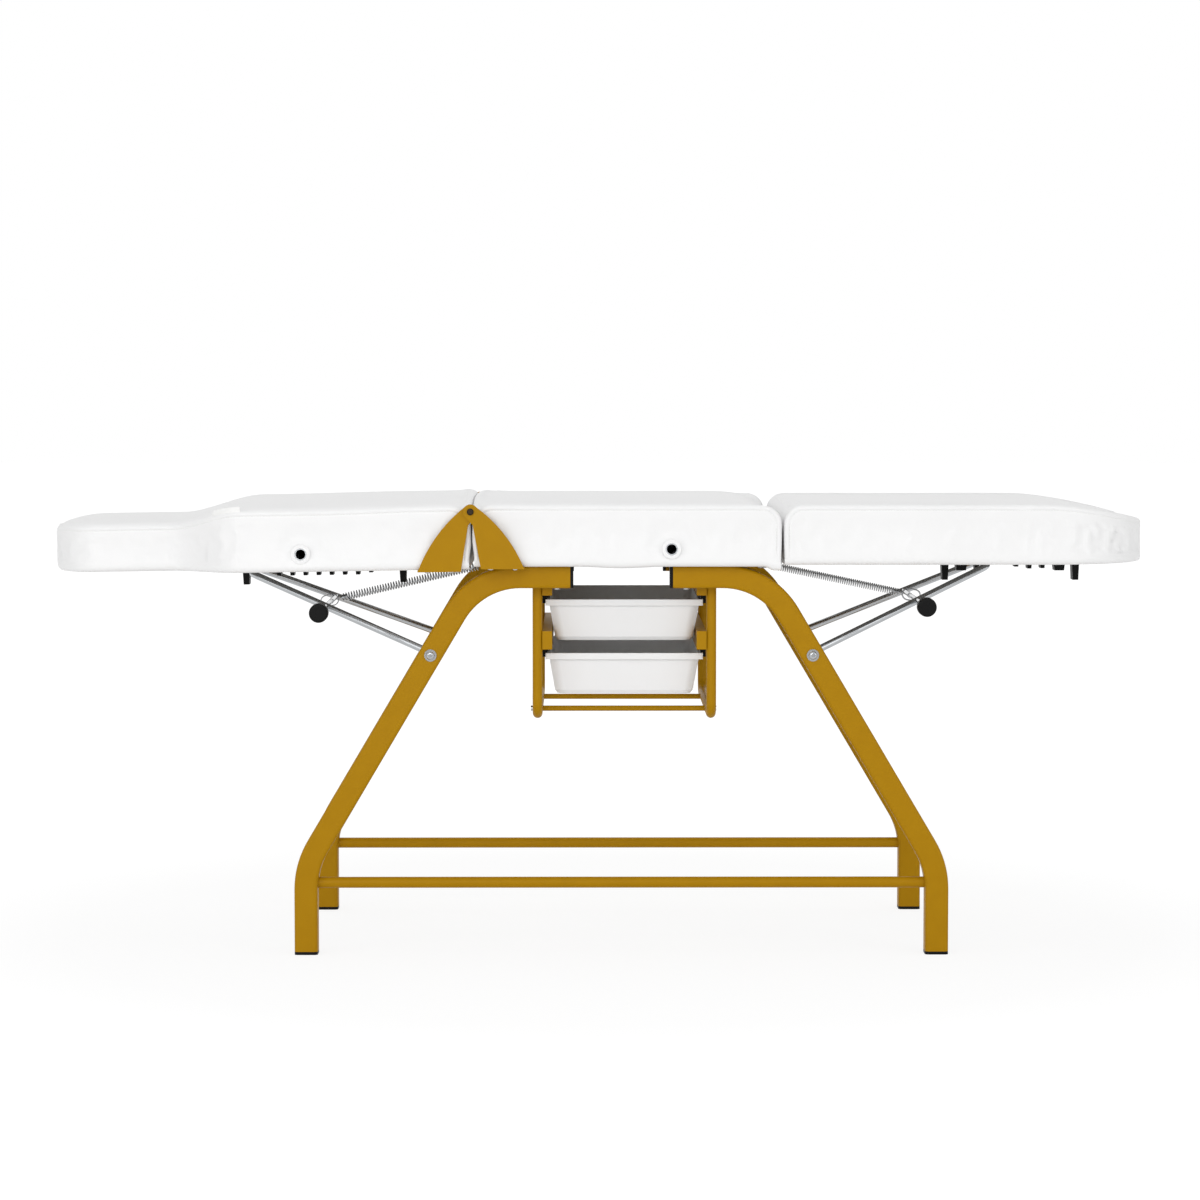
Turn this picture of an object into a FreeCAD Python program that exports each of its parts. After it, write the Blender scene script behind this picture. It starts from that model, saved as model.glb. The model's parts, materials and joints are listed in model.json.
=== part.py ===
import FreeCAD, Part
import math
import os

V = FreeCAD.Vector
UP = V(0, 0, 1)
ALONG = V(1, 0, 0)
ACROSS = V(0, 1, 0)

# Driving dimensions in millimetres and degrees.
# The head end is at -X, the foot end at +X, the release knobs are on the -Y side, the floor is z = 0.

# Pads
PAD_WIDTH = 600.0
BACK_LENGTH = 701.0
SEAT_LENGTH = 496.0
LEG_LENGTH = 606.0
BACK_GAP = 10.0
LEG_GAP = 6.0
PAD_EDGE = 98.0
BACK_CROWN = 12.0
SEAT_CROWN = 9.0
LEG_CROWN = 4.0
HEAD_WIDTH = 400.0
HEAD_LENGTH = 205.0
SHOULDER_LENGTH = 125.0
HEAD_EDGE = 74.0
HEAD_CORNER = 85.0
HEAD_BLUNT = 0.985
HEAD_NOSE = 24.0
BACK_BASE_DROP = 4.0
BACK_DROOP = 0.9
LEG_BASE_RISE = 3.0
LEG_EDGE = 95.0
LEG_END = 215.0
LEG_END_DROP = 26.0
LEG_END_POWER = 2.6
LEG_END_BLUNT = 0.992
HINGE_END_ROUND = 28.0
BOTTOM_ROUND = 12.0
EDGE_ROUND = 14.0
EDGE_RISE = 10.0
DRAW_IN = 2.5
COVER_SKIN = 1.5
COVER_LIP = 28.0
FOAM_CLEARANCE = 0.3
BOARD_THICKNESS = 15.0

# Frame of square tube; its feet reach out beyond the ends of the seat, its shoulders lie in from them
FRAME_SHIFT = 9.5
FRAME_TOP = 638.0
TUBE = 38.0
TUBE_WALL = 2.0
TUBE_ROUND = 6.0
LEG_PLANE = 250.0
FOOT_REACH = 267.5
KNEE_HEIGHT = 144.7
SHOULDER_INSET = 12.5
TUBE_END_REACH = 83.5
KNEE_BEND = 138.0
TOP_BEND = 124.0
FOOT_CAP = 5.0
END_CAP = 5.0
PLUG_DEPTH = 15.0
PLUG_CLEARANCE = 0.2
STRETCHER_RADIUS = 9.0
STRETCHER_HEIGHT = 117.0
CROSS_TUBE_HEIGHT = 300.0
CROSS_TUBE_RADIUS = 12.5
SEAT_BAR_REACH = 105.0
SEAT_BAR_WIDTH = 25.0
SEAT_BAR_HEIGHT = 20.0

# Fasteners
BOLT_RADIUS = 4.0
SCREW_RADIUS = 2.5
SCREW_HEAD_RADIUS = 4.8
SCREW_HEAD_HEIGHT = 3.2
SCREW_BITE = 11.0
RUNNING_CLEARANCE = 0.05
SIDE_CLEARANCE = 0.5

# Hinge plates between backrest and seat, the pivot's height taken from the underside of the seat
BACK_PIVOT_INSET = 4.0
BACK_PIVOT_HEIGHT = 88.0
PLATE_GAP = 3.0
PLATE_THICKNESS = 3.0
PLATE_EYE = 12.0
PLATE_REACH = 87.0
PLATE_WAIST = 17.0
FLANGE_WIDTH = 34.0
FLANGE_SCREW_INSET = 21.0
HINGE_HEAD_RADIUS = 5.5
HINGE_HEAD_HEIGHT = 3.5
HINGE_FOOT_RADIUS = 7.0

# Leaf hinges under the legrest joint
LEG_PIVOT_DROP = 7.5
KNUCKLE_RADIUS = 5.0
HINGE_PIN_RADIUS = 3.0
LEAF_PLANE = 165.0
LEAF_WIDTH = 42.0
LEAF_LENGTH = 62.0
LEAF_THICKNESS = 2.5
LEAF_SCREW_NEAR = 26.0
LEAF_SCREW_FAR = 52.0

# Armrest sockets
BACK_SOCKET_FROM_HINGE = 275.5
SEAT_SOCKET_FROM_HINGE = 325.0
SOCKET_BORE = 8.0
SOCKET_WALL = 2.0
SOCKET_DEPTH = 60.0
SOCKET_END_ROOM = 2.0
ROSETTE_RADIUS = 16.0
ROSETTE_THICKNESS = 2.5
ROSETTE_COLLAR = 6.0
ROSETTE_WALL = 2.0

# Bail struts, release rods and knobs
STRUT_PIVOT_DROP = 147.0
STRUT_RADIUS = 6.0
STRUT_BEND = 22.0
BAR_HALF_WIDTH = 72.0
STRUT_EYE_RADIUS = 10.0
STRUT_EYE_WIDTH = 14.0
STRUT_EYE_GAP = 1.0
BACK_BAR_FROM_PIVOT = 374.5
BACK_BAR_DROP = 15.0
LEG_BAR_FROM_PIVOT = 355.5
LEG_BAR_DROP = 15.0
BACK_ROD_DISTANCE = 192.5
LEG_ROD_DISTANCE = 199.0
ROD_RADIUS = 4.5
ROD_FAR_END = 140.0
KNOB_RADIUS = 15.5
KNOB_LENGTH = 25.0
KNOB_OUTER_FACE = 312.0
KNOB_SOCKET = 14.0
KNOB_ROUND = 4.0
PIVOT_WASHER_RADIUS = 10.0
PIVOT_WASHER = 1.5
PIVOT_HEAD_RADIUS = 7.0
PIVOT_HEAD = 5.0
PIVOT_NUT = 6.0

# Travel of the backrest and the legrest, and the turn of each strut per degree of its pad
BACK_TILT = 60.0
BACK_STRUT_RATIO = 0.82
LEG_TILT = 45.0
LEG_STRUT_RATIO = 1.36

# Racks under the backrest and the legrest
RACK_WIDTH = 28.0
RACK_STRIP = 4.0
PEG_PITCH = 22.2
PEG_BASE = 10.0
PEG_TIP = 6.5
PEG_LENGTH = 26.0
PEG_CLEARANCE = 0.6
POST_LENGTH = 42.0
POST_BASE = 13.0
POST_TIP = 9.5
BACK_PEG_LENGTH = 22.5
BACK_POST_LENGTH = 36.5
BACK_FIRST_PEG = 18.0
BACK_PEGS = 9
BACK_POST_BEFORE = 15.6
BACK_POST_AFTER = 54.2
LEG_FIRST_PEG = -10.8
LEG_PEGS = 6
LEG_POST_BEFORE = 65.1
LEG_POST_AFTER = 55.9
LEG_BOSS_INSET = 27.5
LEG_BOSS_BASE = 22.0
LEG_BOSS_TIP = 16.0
RACK_SCREW_INSET = 11.5

# Springs
SPRING_ANCHOR_INSET = 14.0
SPRING_ANCHOR_DROP = 14.0
SPRING_PLANE = 40.0
ANCHOR_PIN_RADIUS = 3.0
ANCHOR_EAR = 3.0
ANCHOR_EAR_GAP = 16.0
ANCHOR_EAR_WIDTH = 14.0
EYE_CLEARANCE = 1.5
HOOK_CLEARANCE = 4.0
HOOK_SLACK = 11.5
BACK_SPRING_RADIUS = 6.0
BACK_SPRING_WIRE = 2.0
LEG_SPRING_RADIUS = 5.2
LEG_SPRING_WIRE = 2.6
SPRING_TURNS = 48
SPRING_END = 16.0
PLUG_INSIDE = 10.0

# Hanger and trays
TRAY_SHIFT = 5.0
LOOP_REACH = 142.5
LOOP_RADIUS = 8.0
LOOP_BEND = 26.0
LOOP_TOP_GAP = 4.0
LOOP_DROP = 248.0
HANGER_ROD_RADIUS = 4.5
HANGER_ROD_PLANE = 110.0
HANGER_SCREW_RADIUS = 2.5
HANGER_SCREW_HEAD = 4.5
RAIL_WIDTH = 16.0
RAIL_HEIGHT = 30.0
RAIL_END_GAP = 2.0
UPPER_RAIL_DROP = 52.0
LOWER_RAIL_DROP = 140.5
GUIDE_HEIGHT = 15.0
GUIDE_WEB = 3.0
GUIDE_WIDTH = 8.0
GUIDE_TOP = 8.0
GUIDE_SETBACK = 10.0
GUIDE_STOP = 4.0
RIM_CLEARANCE = 0.4
RIM_SIDE_CLEARANCE = 2.0
TRAY_DEPTH = 400.0
TRAY_HEIGHT = 68.0
TRAY_RIM = 3.0
TRAY_LIP = 10.0
TRAY_WALL = 2.5
TRAY_BODY_GAP = 1.5
TRAY_DRAFT = 12.0
TRAY_CORNER = 16.0
TRAY_BOTTOM_ROUND = 6.0

# Places worked out from the driving dimensions
HALF_WIDTH = PAD_WIDTH / 2
HEAD_HALF = HEAD_WIDTH / 2
BACK_START = -(BACK_LENGTH + BACK_GAP + SEAT_LENGTH + LEG_GAP + LEG_LENGTH) / 2
BACK_END = BACK_START + BACK_LENGTH
SEAT_START = BACK_END + BACK_GAP
SEAT_END = SEAT_START + SEAT_LENGTH
LEG_START = SEAT_END + LEG_GAP
LEG_FINISH = LEG_START + LEG_LENGTH
FRAME_X = (SEAT_START + SEAT_END) / 2 - FRAME_SHIFT
FOOT_PLACE = SEAT_LENGTH / 2 + FOOT_REACH
SHOULDER_PLACE = SEAT_LENGTH / 2 - SHOULDER_INSET
SEAT_BASE = FRAME_TOP
STRUT_PIVOT_HEIGHT = FRAME_TOP - STRUT_PIVOT_DROP
LOOP_BOTTOM = FRAME_TOP - LOOP_DROP
UPPER_RAIL_BOTTOM = FRAME_TOP - UPPER_RAIL_DROP
LOWER_RAIL_BOTTOM = FRAME_TOP - LOWER_RAIL_DROP
BACK_BASE = SEAT_BASE - BACK_BASE_DROP
LEG_BASE = SEAT_BASE + LEG_BASE_RISE
TUBE_HALF = TUBE / 2
TUBE_INNER_FACE = LEG_PLANE - TUBE_HALF
TUBE_OUTER_FACE = LEG_PLANE + TUBE_HALF
BACK_PIVOT = V(BACK_END + BACK_PIVOT_INSET, 0, SEAT_BASE + BACK_PIVOT_HEIGHT)
LEG_PIVOT = V(SEAT_END + LEG_GAP / 2, 0, SEAT_BASE - LEG_PIVOT_DROP)
NARROW_OPENING = HEAD_HALF - COVER_LIP
LEG_BAR_X = LEG_PIVOT.x + LEG_BAR_FROM_PIVOT
LEG_RACK_END = LEG_BAR_X + LEG_FIRST_PEG + PEG_PITCH * (LEG_PEGS - 1) + LEG_POST_AFTER + 2 * RACK_SCREW_INSET
TRAY_X = FRAME_X + TRAY_SHIFT
LOOP_PLANE = TUBE_INNER_FACE - LOOP_RADIUS


# Plain shapes

def block(x0, x1, y0, y1, z0, z1):
    return Part.makeBox(x1 - x0, y1 - y0, z1 - z0, V(x0, y0, z0))


def rod(start, end, radius):
    line = end - start
    return Part.makeCylinder(radius, line.Length, start, line)


def ring(start, end, outer, inner):
    return rod(start, end, outer).cut(rod(start, end, inner))


def far_copy(shape):
    return shape.mirror(V(0, 0, 0), ACROSS)


def both_sides(shape):
    return [shape, far_copy(shape)]


def group(shapes):
    solids = []
    for shape in shapes:
        solids.extend(shape.Solids)
    return Part.makeCompound(solids)


def cut_all(shape, cutters):
    for cutter in cutters:
        shape = shape.cut(cutter)
    return shape


def turned(point, centre, degrees):
    spin = FreeCAD.Rotation(ACROSS, degrees)
    return centre + spin.multVec(point - centre)


def drooped(shape):
    copy = shape.copy()
    copy.rotate(BACK_PIVOT, ACROSS, -BACK_DROOP)
    return copy


def bent_path(points, bends):
    """A wire of straight runs joined by tangent arcs, one bend radius for each inner point."""
    edges = []
    start = points[0]
    for corner, after, radius in zip(points[1:-1], points[2:], bends):
        back = (start - corner).normalize()
        ahead = (after - corner).normalize()
        half_turn = (math.pi - back.getAngle(ahead)) / 2
        reach = radius * math.tan(half_turn)
        middle = (back + ahead).normalize()
        arc_start = corner + back * reach
        arc_end = corner + ahead * reach
        arc_middle = corner + middle * (radius / math.cos(half_turn) - radius)
        edges.append(Part.LineSegment(start, arc_start).toShape())
        edges.append(Part.Arc(arc_start, arc_middle, arc_end).toShape())
        start = arc_end
    edges.append(Part.LineSegment(start, points[-1]).toShape())
    return Part.Wire(edges)


def round_bar(points, bends, radius):
    path = bent_path(points, bends)
    section = Part.Wire(Part.makeCircle(radius, points[0], points[1] - points[0]))
    return path.makePipeShell([section], True, False)


def rounded_rectangle(centre, half_x, half_y, radius):
    """A flat outline of four lines and four corner arcs, square to Z."""
    slant = radius * (1 - math.sqrt(0.5))
    edges = []
    corners = [(1, -1), (1, 1), (-1, 1), (-1, -1)]
    for (sx, sy), (nx, ny) in zip(corners, corners[1:] + corners[:1]):
        along_x = sx != sy
        ends = [V(sx * half_x, sy * (half_y - radius), 0), V(sx * (half_x - radius), sy * half_y, 0)]
        first, last = reversed(ends) if along_x else ends
        middle = V(sx * (half_x - slant), sy * (half_y - slant), 0)
        edges.append(Part.Arc(centre + first, centre + middle, centre + last).toShape())
        following = V(nx * (half_x - radius), ny * half_y, 0)
        if nx == ny:
            following = V(nx * half_x, ny * (half_y - radius), 0)
        edges.append(Part.LineSegment(centre + last, centre + following).toShape())
    return Part.Wire(edges)


def square_tube(points, bends, size, corner):
    """A bar of rounded square section along a path that starts straight up."""
    section = rounded_rectangle(points[0], size / 2, size / 2, corner)
    return bent_path(points, bends).makePipeShell([section], True, False)


def round_over(distance, radius):
    """How far a quarter round has fallen away at this distance in from the edge."""
    if distance >= radius:
        return 0.0
    return radius - math.sqrt(radius ** 2 - (radius - max(distance, 0.0)) ** 2)


def eased(share):
    share = min(max(share, 0.0), 1.0)
    return share * share * (3 - 2 * share)


def pan_screw(head_face, direction):
    """A pan head with its face on head_face and a shank that runs along direction."""
    head = rod(head_face, head_face - direction * SCREW_HEAD_HEIGHT, SCREW_HEAD_RADIUS)
    rim = [edge for edge in head.Edges
           if edge.Closed and (edge.CenterOfMass - head_face).Length > SCREW_HEAD_HEIGHT / 2]
    return head.makeFillet(SCREW_HEAD_HEIGHT * 0.6, rim)


# Pads: each is lofted along X through upright sections of a flat base, drawn-in sides and a crowned top

def pad_section(x, half, base, edge, crown, skin, gap):
    half = half - skin - gap
    floor = base - COVER_SKIN + skin
    edge = edge - skin - gap
    top = edge + crown
    foot = min(BOTTOM_ROUND, half / 3)
    shoulder = min(EDGE_ROUND, half / 3)
    wall_top = edge - EDGE_RISE
    points = {
        "foot": V(x, half - foot, floor),
        "heel": V(x, half - foot * 0.29, floor + foot * 0.29),
        "wall": V(x, half, floor + foot),
        "waist": V(x, half - DRAW_IN, (floor + foot + wall_top) / 2),
        "seam": V(x, half, wall_top),
        "bend": V(x, half - shoulder * 0.34, wall_top + EDGE_RISE * 0.72),
        "brow": V(x, half - shoulder, edge),
    }
    far = {name: V(p.x, -p.y, p.z) for name, p in points.items()}
    return Part.Wire([
        Part.LineSegment(far["foot"], points["foot"]).toShape(),
        Part.Arc(points["foot"], points["heel"], points["wall"]).toShape(),
        Part.Arc(points["wall"], points["waist"], points["seam"]).toShape(),
        Part.Arc(points["seam"], points["bend"], points["brow"]).toShape(),
        Part.Arc(points["brow"], V(x, 0, top), far["brow"]).toShape(),
        Part.Arc(far["brow"], far["bend"], far["seam"]).toShape(),
        Part.Arc(far["seam"], far["waist"], far["wall"]).toShape(),
        Part.Arc(far["wall"], far["heel"], far["foot"]).toShape(),
    ])


ROUND_STEPS = [math.radians(angle) for angle in (0, 22.5, 45, 67.5, 90)]
HEAD_STEPS = [1 - math.cos(math.radians(angle)) for angle in (0, 15, 30, 45, 60, 75, 90)]
SHOULDER_STEPS = [step / 8 for step in range(9)]


def round_stations(radius):
    return [radius * (1 - math.cos(angle)) for angle in ROUND_STEPS]


def back_stations():
    head = [HEAD_CORNER * share for share in HEAD_STEPS]
    shoulder = [HEAD_LENGTH + SHOULDER_LENGTH * share for share in SHOULDER_STEPS]
    hinge = [BACK_LENGTH - step for step in reversed(round_stations(HINGE_END_ROUND))]
    return head + shoulder + hinge


def back_profile(along):
    share = eased((along - HEAD_LENGTH) / SHOULDER_LENGTH)
    end = max(1 - along / HEAD_CORNER, 0.0) * HEAD_BLUNT
    half = HEAD_HALF * math.sqrt(1 - end ** 2) + (HALF_WIDTH - HEAD_HALF) * share
    edge = HEAD_EDGE + (PAD_EDGE - HEAD_EDGE) * share
    fall = round_over(along, HEAD_NOSE) + round_over(BACK_LENGTH - along, HINGE_END_ROUND)
    return half, BACK_BASE + round_over(along, HEAD_NOSE) / 2, BACK_BASE + edge - fall


def seat_stations():
    ends = round_stations(HINGE_END_ROUND)
    return ends + [SEAT_LENGTH / 2] + [SEAT_LENGTH - step for step in reversed(ends)]


def seat_profile(along):
    fall = round_over(along, HINGE_END_ROUND) + round_over(SEAT_LENGTH - along, HINGE_END_ROUND)
    return HALF_WIDTH, SEAT_BASE, SEAT_BASE + PAD_EDGE - fall


def leg_stations():
    start = LEG_LENGTH - LEG_END
    angles = (0, 15, 30, 42, 54, 65, 75, 90)
    sweep = [math.sin(math.radians(angle)) ** (2 / LEG_END_POWER) for angle in angles]
    return round_stations(HINGE_END_ROUND) + [start / 2] + [start + LEG_END * share for share in sweep]


def leg_profile(along):
    share = max(along - (LEG_LENGTH - LEG_END), 0.0) / LEG_END * LEG_END_BLUNT
    swell = (1 - share ** LEG_END_POWER) ** (1 / LEG_END_POWER)
    fall = round_over(along, HINGE_END_ROUND) + LEG_END_DROP * (1 - swell)
    return HALF_WIDTH * swell, LEG_BASE, LEG_BASE + LEG_EDGE - fall


def pad_form(start, length, stations, profile, crown, skin, gap):
    """The outer form of a pad, or with a skin and a gap the form of what lies inside it."""
    sections = []
    inset = skin + gap
    for along in stations:
        half, base, edge = profile(along)
        x = start + inset + along * (length - 2 * inset) / length
        sections.append(pad_section(x, half, base, edge, crown, skin, gap))
    return Part.makeLoft(sections, True, True)


def pad_pieces(start, length, stations, profile, base, crown, opening):
    """Board, foam and cover of one pad; the cover is open underneath where the opening block is."""
    outer = pad_form(start, length, stations, profile, crown, 0.0, 0.0)
    cavity = pad_form(start, length, stations, profile, crown, COVER_SKIN, 0.0)
    inside = pad_form(start, length, stations, profile, crown, COVER_SKIN, FOAM_CLEARANCE)
    slab = block(start - PAD_WIDTH, start + length + PAD_WIDTH, -PAD_WIDTH, PAD_WIDTH, base - PAD_WIDTH,
                 base + BOARD_THICKNESS)
    cover = outer.cut(cavity).cut(opening)
    return inside.common(slab), inside.cut(slab), cover


def cover_opening(x0, x1, half, base):
    return block(x0, x1, -half, half, base - COVER_SKIN * 2, base + COVER_SKIN)


# Bent legs of the frame

def leg_points(side):
    """Centre line of one leg from the foot to the free end of its top run; side -1 is the head end."""
    top = FRAME_TOP - TUBE_HALF
    foot_x = FRAME_X + side * FOOT_PLACE
    return [V(foot_x, 0, FOOT_CAP),
            V(foot_x, 0, KNEE_HEIGHT),
            V(FRAME_X + side * SHOULDER_PLACE, 0, top),
            V(FRAME_X + side * TUBE_END_REACH, 0, top)]


def leg_x_at(height, side):
    low, high = leg_points(side)[1:3]
    return low.x + (high.x - low.x) * (height - low.z) / (high.z - low.z)


LEG_BENDS = [KNEE_BEND, TOP_BEND]


def leg_bar(side):
    points = [point - V(0, LEG_PLANE, 0) for point in leg_points(side)]
    return square_tube(points, LEG_BENDS, TUBE, TUBE_ROUND)


def leg_core(side):
    points = [point - V(0, LEG_PLANE, 0) for point in leg_points(side)]
    return square_tube(points, LEG_BENDS, TUBE - 2 * TUBE_WALL, TUBE_ROUND - TUBE_WALL)


def foot_cap(side):
    foot = leg_points(side)[0] - V(0, LEG_PLANE, FOOT_CAP)
    plug_half = TUBE_HALF - TUBE_WALL - PLUG_CLEARANCE
    pad = Part.Face(rounded_rectangle(foot, TUBE_HALF, TUBE_HALF, TUBE_ROUND)).extrude(UP * FOOT_CAP)
    plug = rounded_rectangle(foot + UP * FOOT_CAP, plug_half, plug_half, TUBE_ROUND - TUBE_WALL)
    return pad.fuse(Part.Face(plug).extrude(UP * PLUG_DEPTH)).removeSplitter()


def tube_end_cap(side):
    """A cap on the free end of a leg's top run: a plate flush with the tube and a plug inside it."""
    end = leg_points(side)[3] - V(0, LEG_PLANE, 0)
    plug_half = TUBE_HALF - TUBE_WALL - PLUG_CLEARANCE
    plate = Part.Face(rounded_rectangle(V(0, 0, 0), TUBE_HALF, TUBE_HALF, TUBE_ROUND)).extrude(UP * END_CAP)
    plug = Part.Face(rounded_rectangle(V(0, 0, 0), plug_half, plug_half, TUBE_ROUND - TUBE_WALL))
    cap = plate.fuse(plug.extrude(UP * -PLUG_DEPTH)).removeSplitter()
    cap.rotate(V(0, 0, 0), ACROSS, -90.0 * side)
    cap.translate(end)
    return cap


def strut_pivot(side):
    return V(leg_x_at(STRUT_PIVOT_HEIGHT, side), 0, STRUT_PIVOT_HEIGHT)


# Fan-shaped hinge plates

def plate_outline(side, drop):
    """The plate's outline from its pivot; side -1 is the backrest's plate, drop its height below the pivot."""
    eye = PLATE_EYE
    shoulder = V(side * eye * 0.75, 0, eye * 0.66)
    outer = V(side * PLATE_REACH, 0, -drop)
    bulge = (shoulder + outer) * 0.5 + V(side, 0, 0.7) * (PLATE_REACH * 0.085)
    waist = V(side * 4.0, 0, -eye * 1.8)
    neck = V(-side * eye * 0.6, 0, -eye * 0.8)
    apex = V(-side * eye * 0.6, 0, eye * 0.8)
    inner = V(side * PLATE_WAIST, 0, -drop)
    return [Part.Arc(shoulder, bulge, outer).toShape(),
            Part.LineSegment(outer, inner).toShape(),
            Part.LineSegment(inner, waist).toShape(),
            Part.LineSegment(waist, neck).toShape(),
            Part.Arc(neck, V(-side * eye, 0, 0), apex).toShape(),
            Part.Arc(apex, V(0, 0, eye), shoulder).toShape()]


def hinge_plate(side, inner_face, base, bore):
    """One plate on the near side with the flange that turns in under its pad."""
    under = base - COVER_SKIN
    drop = BACK_PIVOT.z - under + PLATE_THICKNESS
    face = Part.Face(Part.Wire(plate_outline(side, drop)))
    face.translate(BACK_PIVOT - V(0, inner_face + PLATE_THICKNESS, 0))
    plate = face.extrude(V(0, PLATE_THICKNESS, 0))
    near, far = sorted([BACK_PIVOT.x + side * PLATE_WAIST, BACK_PIVOT.x + side * PLATE_REACH])
    outer = inner_face + PLATE_THICKNESS
    flange_edge = HALF_WIDTH + PLATE_GAP + PLATE_THICKNESS - FLANGE_WIDTH
    flange = block(near, far, -outer, -flange_edge, under - PLATE_THICKNESS, under)
    plate = plate.fuse(flange).removeSplitter()
    return plate.cut(rod(BACK_PIVOT - V(0, outer * 2, 0), BACK_PIVOT, bore))


def flange_screw_places(side, base):
    y = -(HALF_WIDTH - FLANGE_SCREW_INSET + PLATE_GAP)
    z = base - COVER_SKIN - PLATE_THICKNESS
    share = (0.22, 0.78)
    span = PLATE_REACH - PLATE_WAIST
    return [V(BACK_PIVOT.x + side * (PLATE_WAIST + span * part), y, z) for part in share]


def screw_shank(place, direction, length):
    return rod(place, place + direction * length, SCREW_RADIUS)


def screws_up(places, grip):
    """Pan head screws from below, with shanks that reach through the grip and bite into a board."""
    screws = []
    for place in places:
        shank = screw_shank(place, UP, grip + SCREW_BITE)
        screws.append(pan_screw(place, UP).fuse(shank).removeSplitter())
    return screws


def shanks_up(places, grip):
    return [screw_shank(place, UP, grip + SCREW_BITE) for place in places]


# Armrest sockets

def socket_place(from_hinge, base):
    height = base + BOARD_THICKNESS + SOCKET_BORE + SOCKET_WALL + ROSETTE_WALL + FOAM_CLEARANCE
    return V(BACK_PIVOT.x + from_hinge, -HALF_WIDTH, height)


def socket_tube(place):
    return ring(place, place + ACROSS * SOCKET_DEPTH, SOCKET_BORE + SOCKET_WALL, SOCKET_BORE)


def rosette(place):
    hole = SOCKET_BORE + SOCKET_WALL
    flange = rod(place, place - ACROSS * ROSETTE_THICKNESS, ROSETTE_RADIUS)
    rim = [edge for edge in flange.Edges
           if edge.Closed and edge.CenterOfMass.y < place.y - ROSETTE_THICKNESS / 2]
    flange = flange.makeFillet(ROSETTE_THICKNESS * 0.6, rim)
    collar = rod(place, place + ACROSS * ROSETTE_COLLAR, hole + ROSETTE_WALL)
    solid = flange.fuse(collar).removeSplitter()
    bore = rod(place - ACROSS * ROSETTE_COLLAR, place + ACROSS * ROSETTE_COLLAR * 2, hole)
    return solid.cut(bore)


def socket_pocket(place):
    """Room for a socket in the foam and the cover."""
    tube = rod(place - ACROSS * ROSETTE_COLLAR, place + ACROSS * (SOCKET_DEPTH + SOCKET_END_ROOM),
               SOCKET_BORE + SOCKET_WALL)
    collar_radius = SOCKET_BORE + SOCKET_WALL + ROSETTE_WALL + FOAM_CLEARANCE
    mouth = rod(place - ACROSS * ROSETTE_COLLAR, place + ACROSS * (ROSETTE_COLLAR + FOAM_CLEARANCE),
                collar_radius)
    return tube.fuse(mouth)


# Struts, release rods and knobs

EYE_OUTER = TUBE_INNER_FACE - STRUT_EYE_GAP
EYE_INNER = EYE_OUTER - STRUT_EYE_WIDTH
EYE_MIDDLE = (EYE_OUTER + EYE_INNER) / 2


def strut(pivot, bar):
    near = pivot - ACROSS * EYE_MIDDLE
    far = pivot + ACROSS * EYE_MIDDLE
    points = [near, bar - ACROSS * BAR_HALF_WIDTH, bar + ACROSS * BAR_HALF_WIDTH, far]
    bail = round_bar(points, [STRUT_BEND, STRUT_BEND], STRUT_RADIUS)
    eye = rod(pivot - ACROSS * EYE_OUTER, pivot - ACROSS * EYE_INNER, STRUT_EYE_RADIUS)
    bore = rod(pivot - ACROSS * PAD_WIDTH, pivot + ACROSS * PAD_WIDTH, BOLT_RADIUS + RUNNING_CLEARANCE)
    whole = bail.fuse(eye).fuse(far_copy(eye))
    reach = rod(pivot - ACROSS * EYE_OUTER, pivot - ACROSS * PAD_WIDTH, STRUT_EYE_RADIUS * 2)
    nut_room = rod(pivot - ACROSS * EYE_INNER, pivot - ACROSS * (EYE_INNER - 2 * PIVOT_NUT),
                   PIVOT_HEAD_RADIUS + SIDE_CLEARANCE)
    return cut_all(whole, [bore] + both_sides(reach) + both_sides(nut_room)).removeSplitter()


def release_rod(place):
    """A rod through both arms of a strut, from the knob to just past the far arm."""
    start = place - ACROSS * (KNOB_OUTER_FACE - KNOB_LENGTH + KNOB_SOCKET)
    return rod(start, place + ACROSS * ROD_FAR_END, ROD_RADIUS)


def knob(place):
    outer = place - ACROSS * KNOB_OUTER_FACE
    inner = outer + ACROSS * KNOB_LENGTH
    body = rod(outer, inner, KNOB_RADIUS)
    rims = [edge for edge in body.Edges if edge.Closed]
    body = body.makeFillet(KNOB_ROUND, rims)
    return body.cut(rod(inner - ACROSS * KNOB_SOCKET, inner + ACROSS, ROD_RADIUS))


def pivot_bolt(pivot):
    face = pivot - ACROSS * TUBE_OUTER_FACE
    shank = rod(face, pivot - ACROSS * (EYE_INNER - SIDE_CLEARANCE - PIVOT_NUT), BOLT_RADIUS)
    washer = rod(face, face - ACROSS * PIVOT_WASHER, PIVOT_WASHER_RADIUS)
    crown = rod(face - ACROSS * PIVOT_WASHER, face - ACROSS * (PIVOT_WASHER + PIVOT_HEAD), PIVOT_HEAD_RADIUS)
    top = [edge for edge in crown.Edges
           if edge.Closed and edge.CenterOfMass.y < face.y - PIVOT_WASHER - PIVOT_HEAD / 2]
    crown = crown.makeFillet(PIVOT_HEAD * 0.8, top)
    return shank.fuse(washer).fuse(crown).removeSplitter()


def pivot_nut(pivot):
    inner = EYE_INNER - SIDE_CLEARANCE
    across = PIVOT_HEAD_RADIUS
    angles = [math.radians(60 * i) for i in range(7)]
    corners = [V(across * math.cos(angle), 0, across * math.sin(angle)) for angle in angles]
    hexagon = Part.Face(Part.makePolygon(corners))
    hexagon.translate(pivot - ACROSS * inner)
    nut = hexagon.extrude(ACROSS * PIVOT_NUT)
    return nut.cut(rod(pivot - ACROSS * (inner + PIVOT_NUT), pivot, BOLT_RADIUS))


# Racks: a strip with a row of pegs between two stop posts

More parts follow.
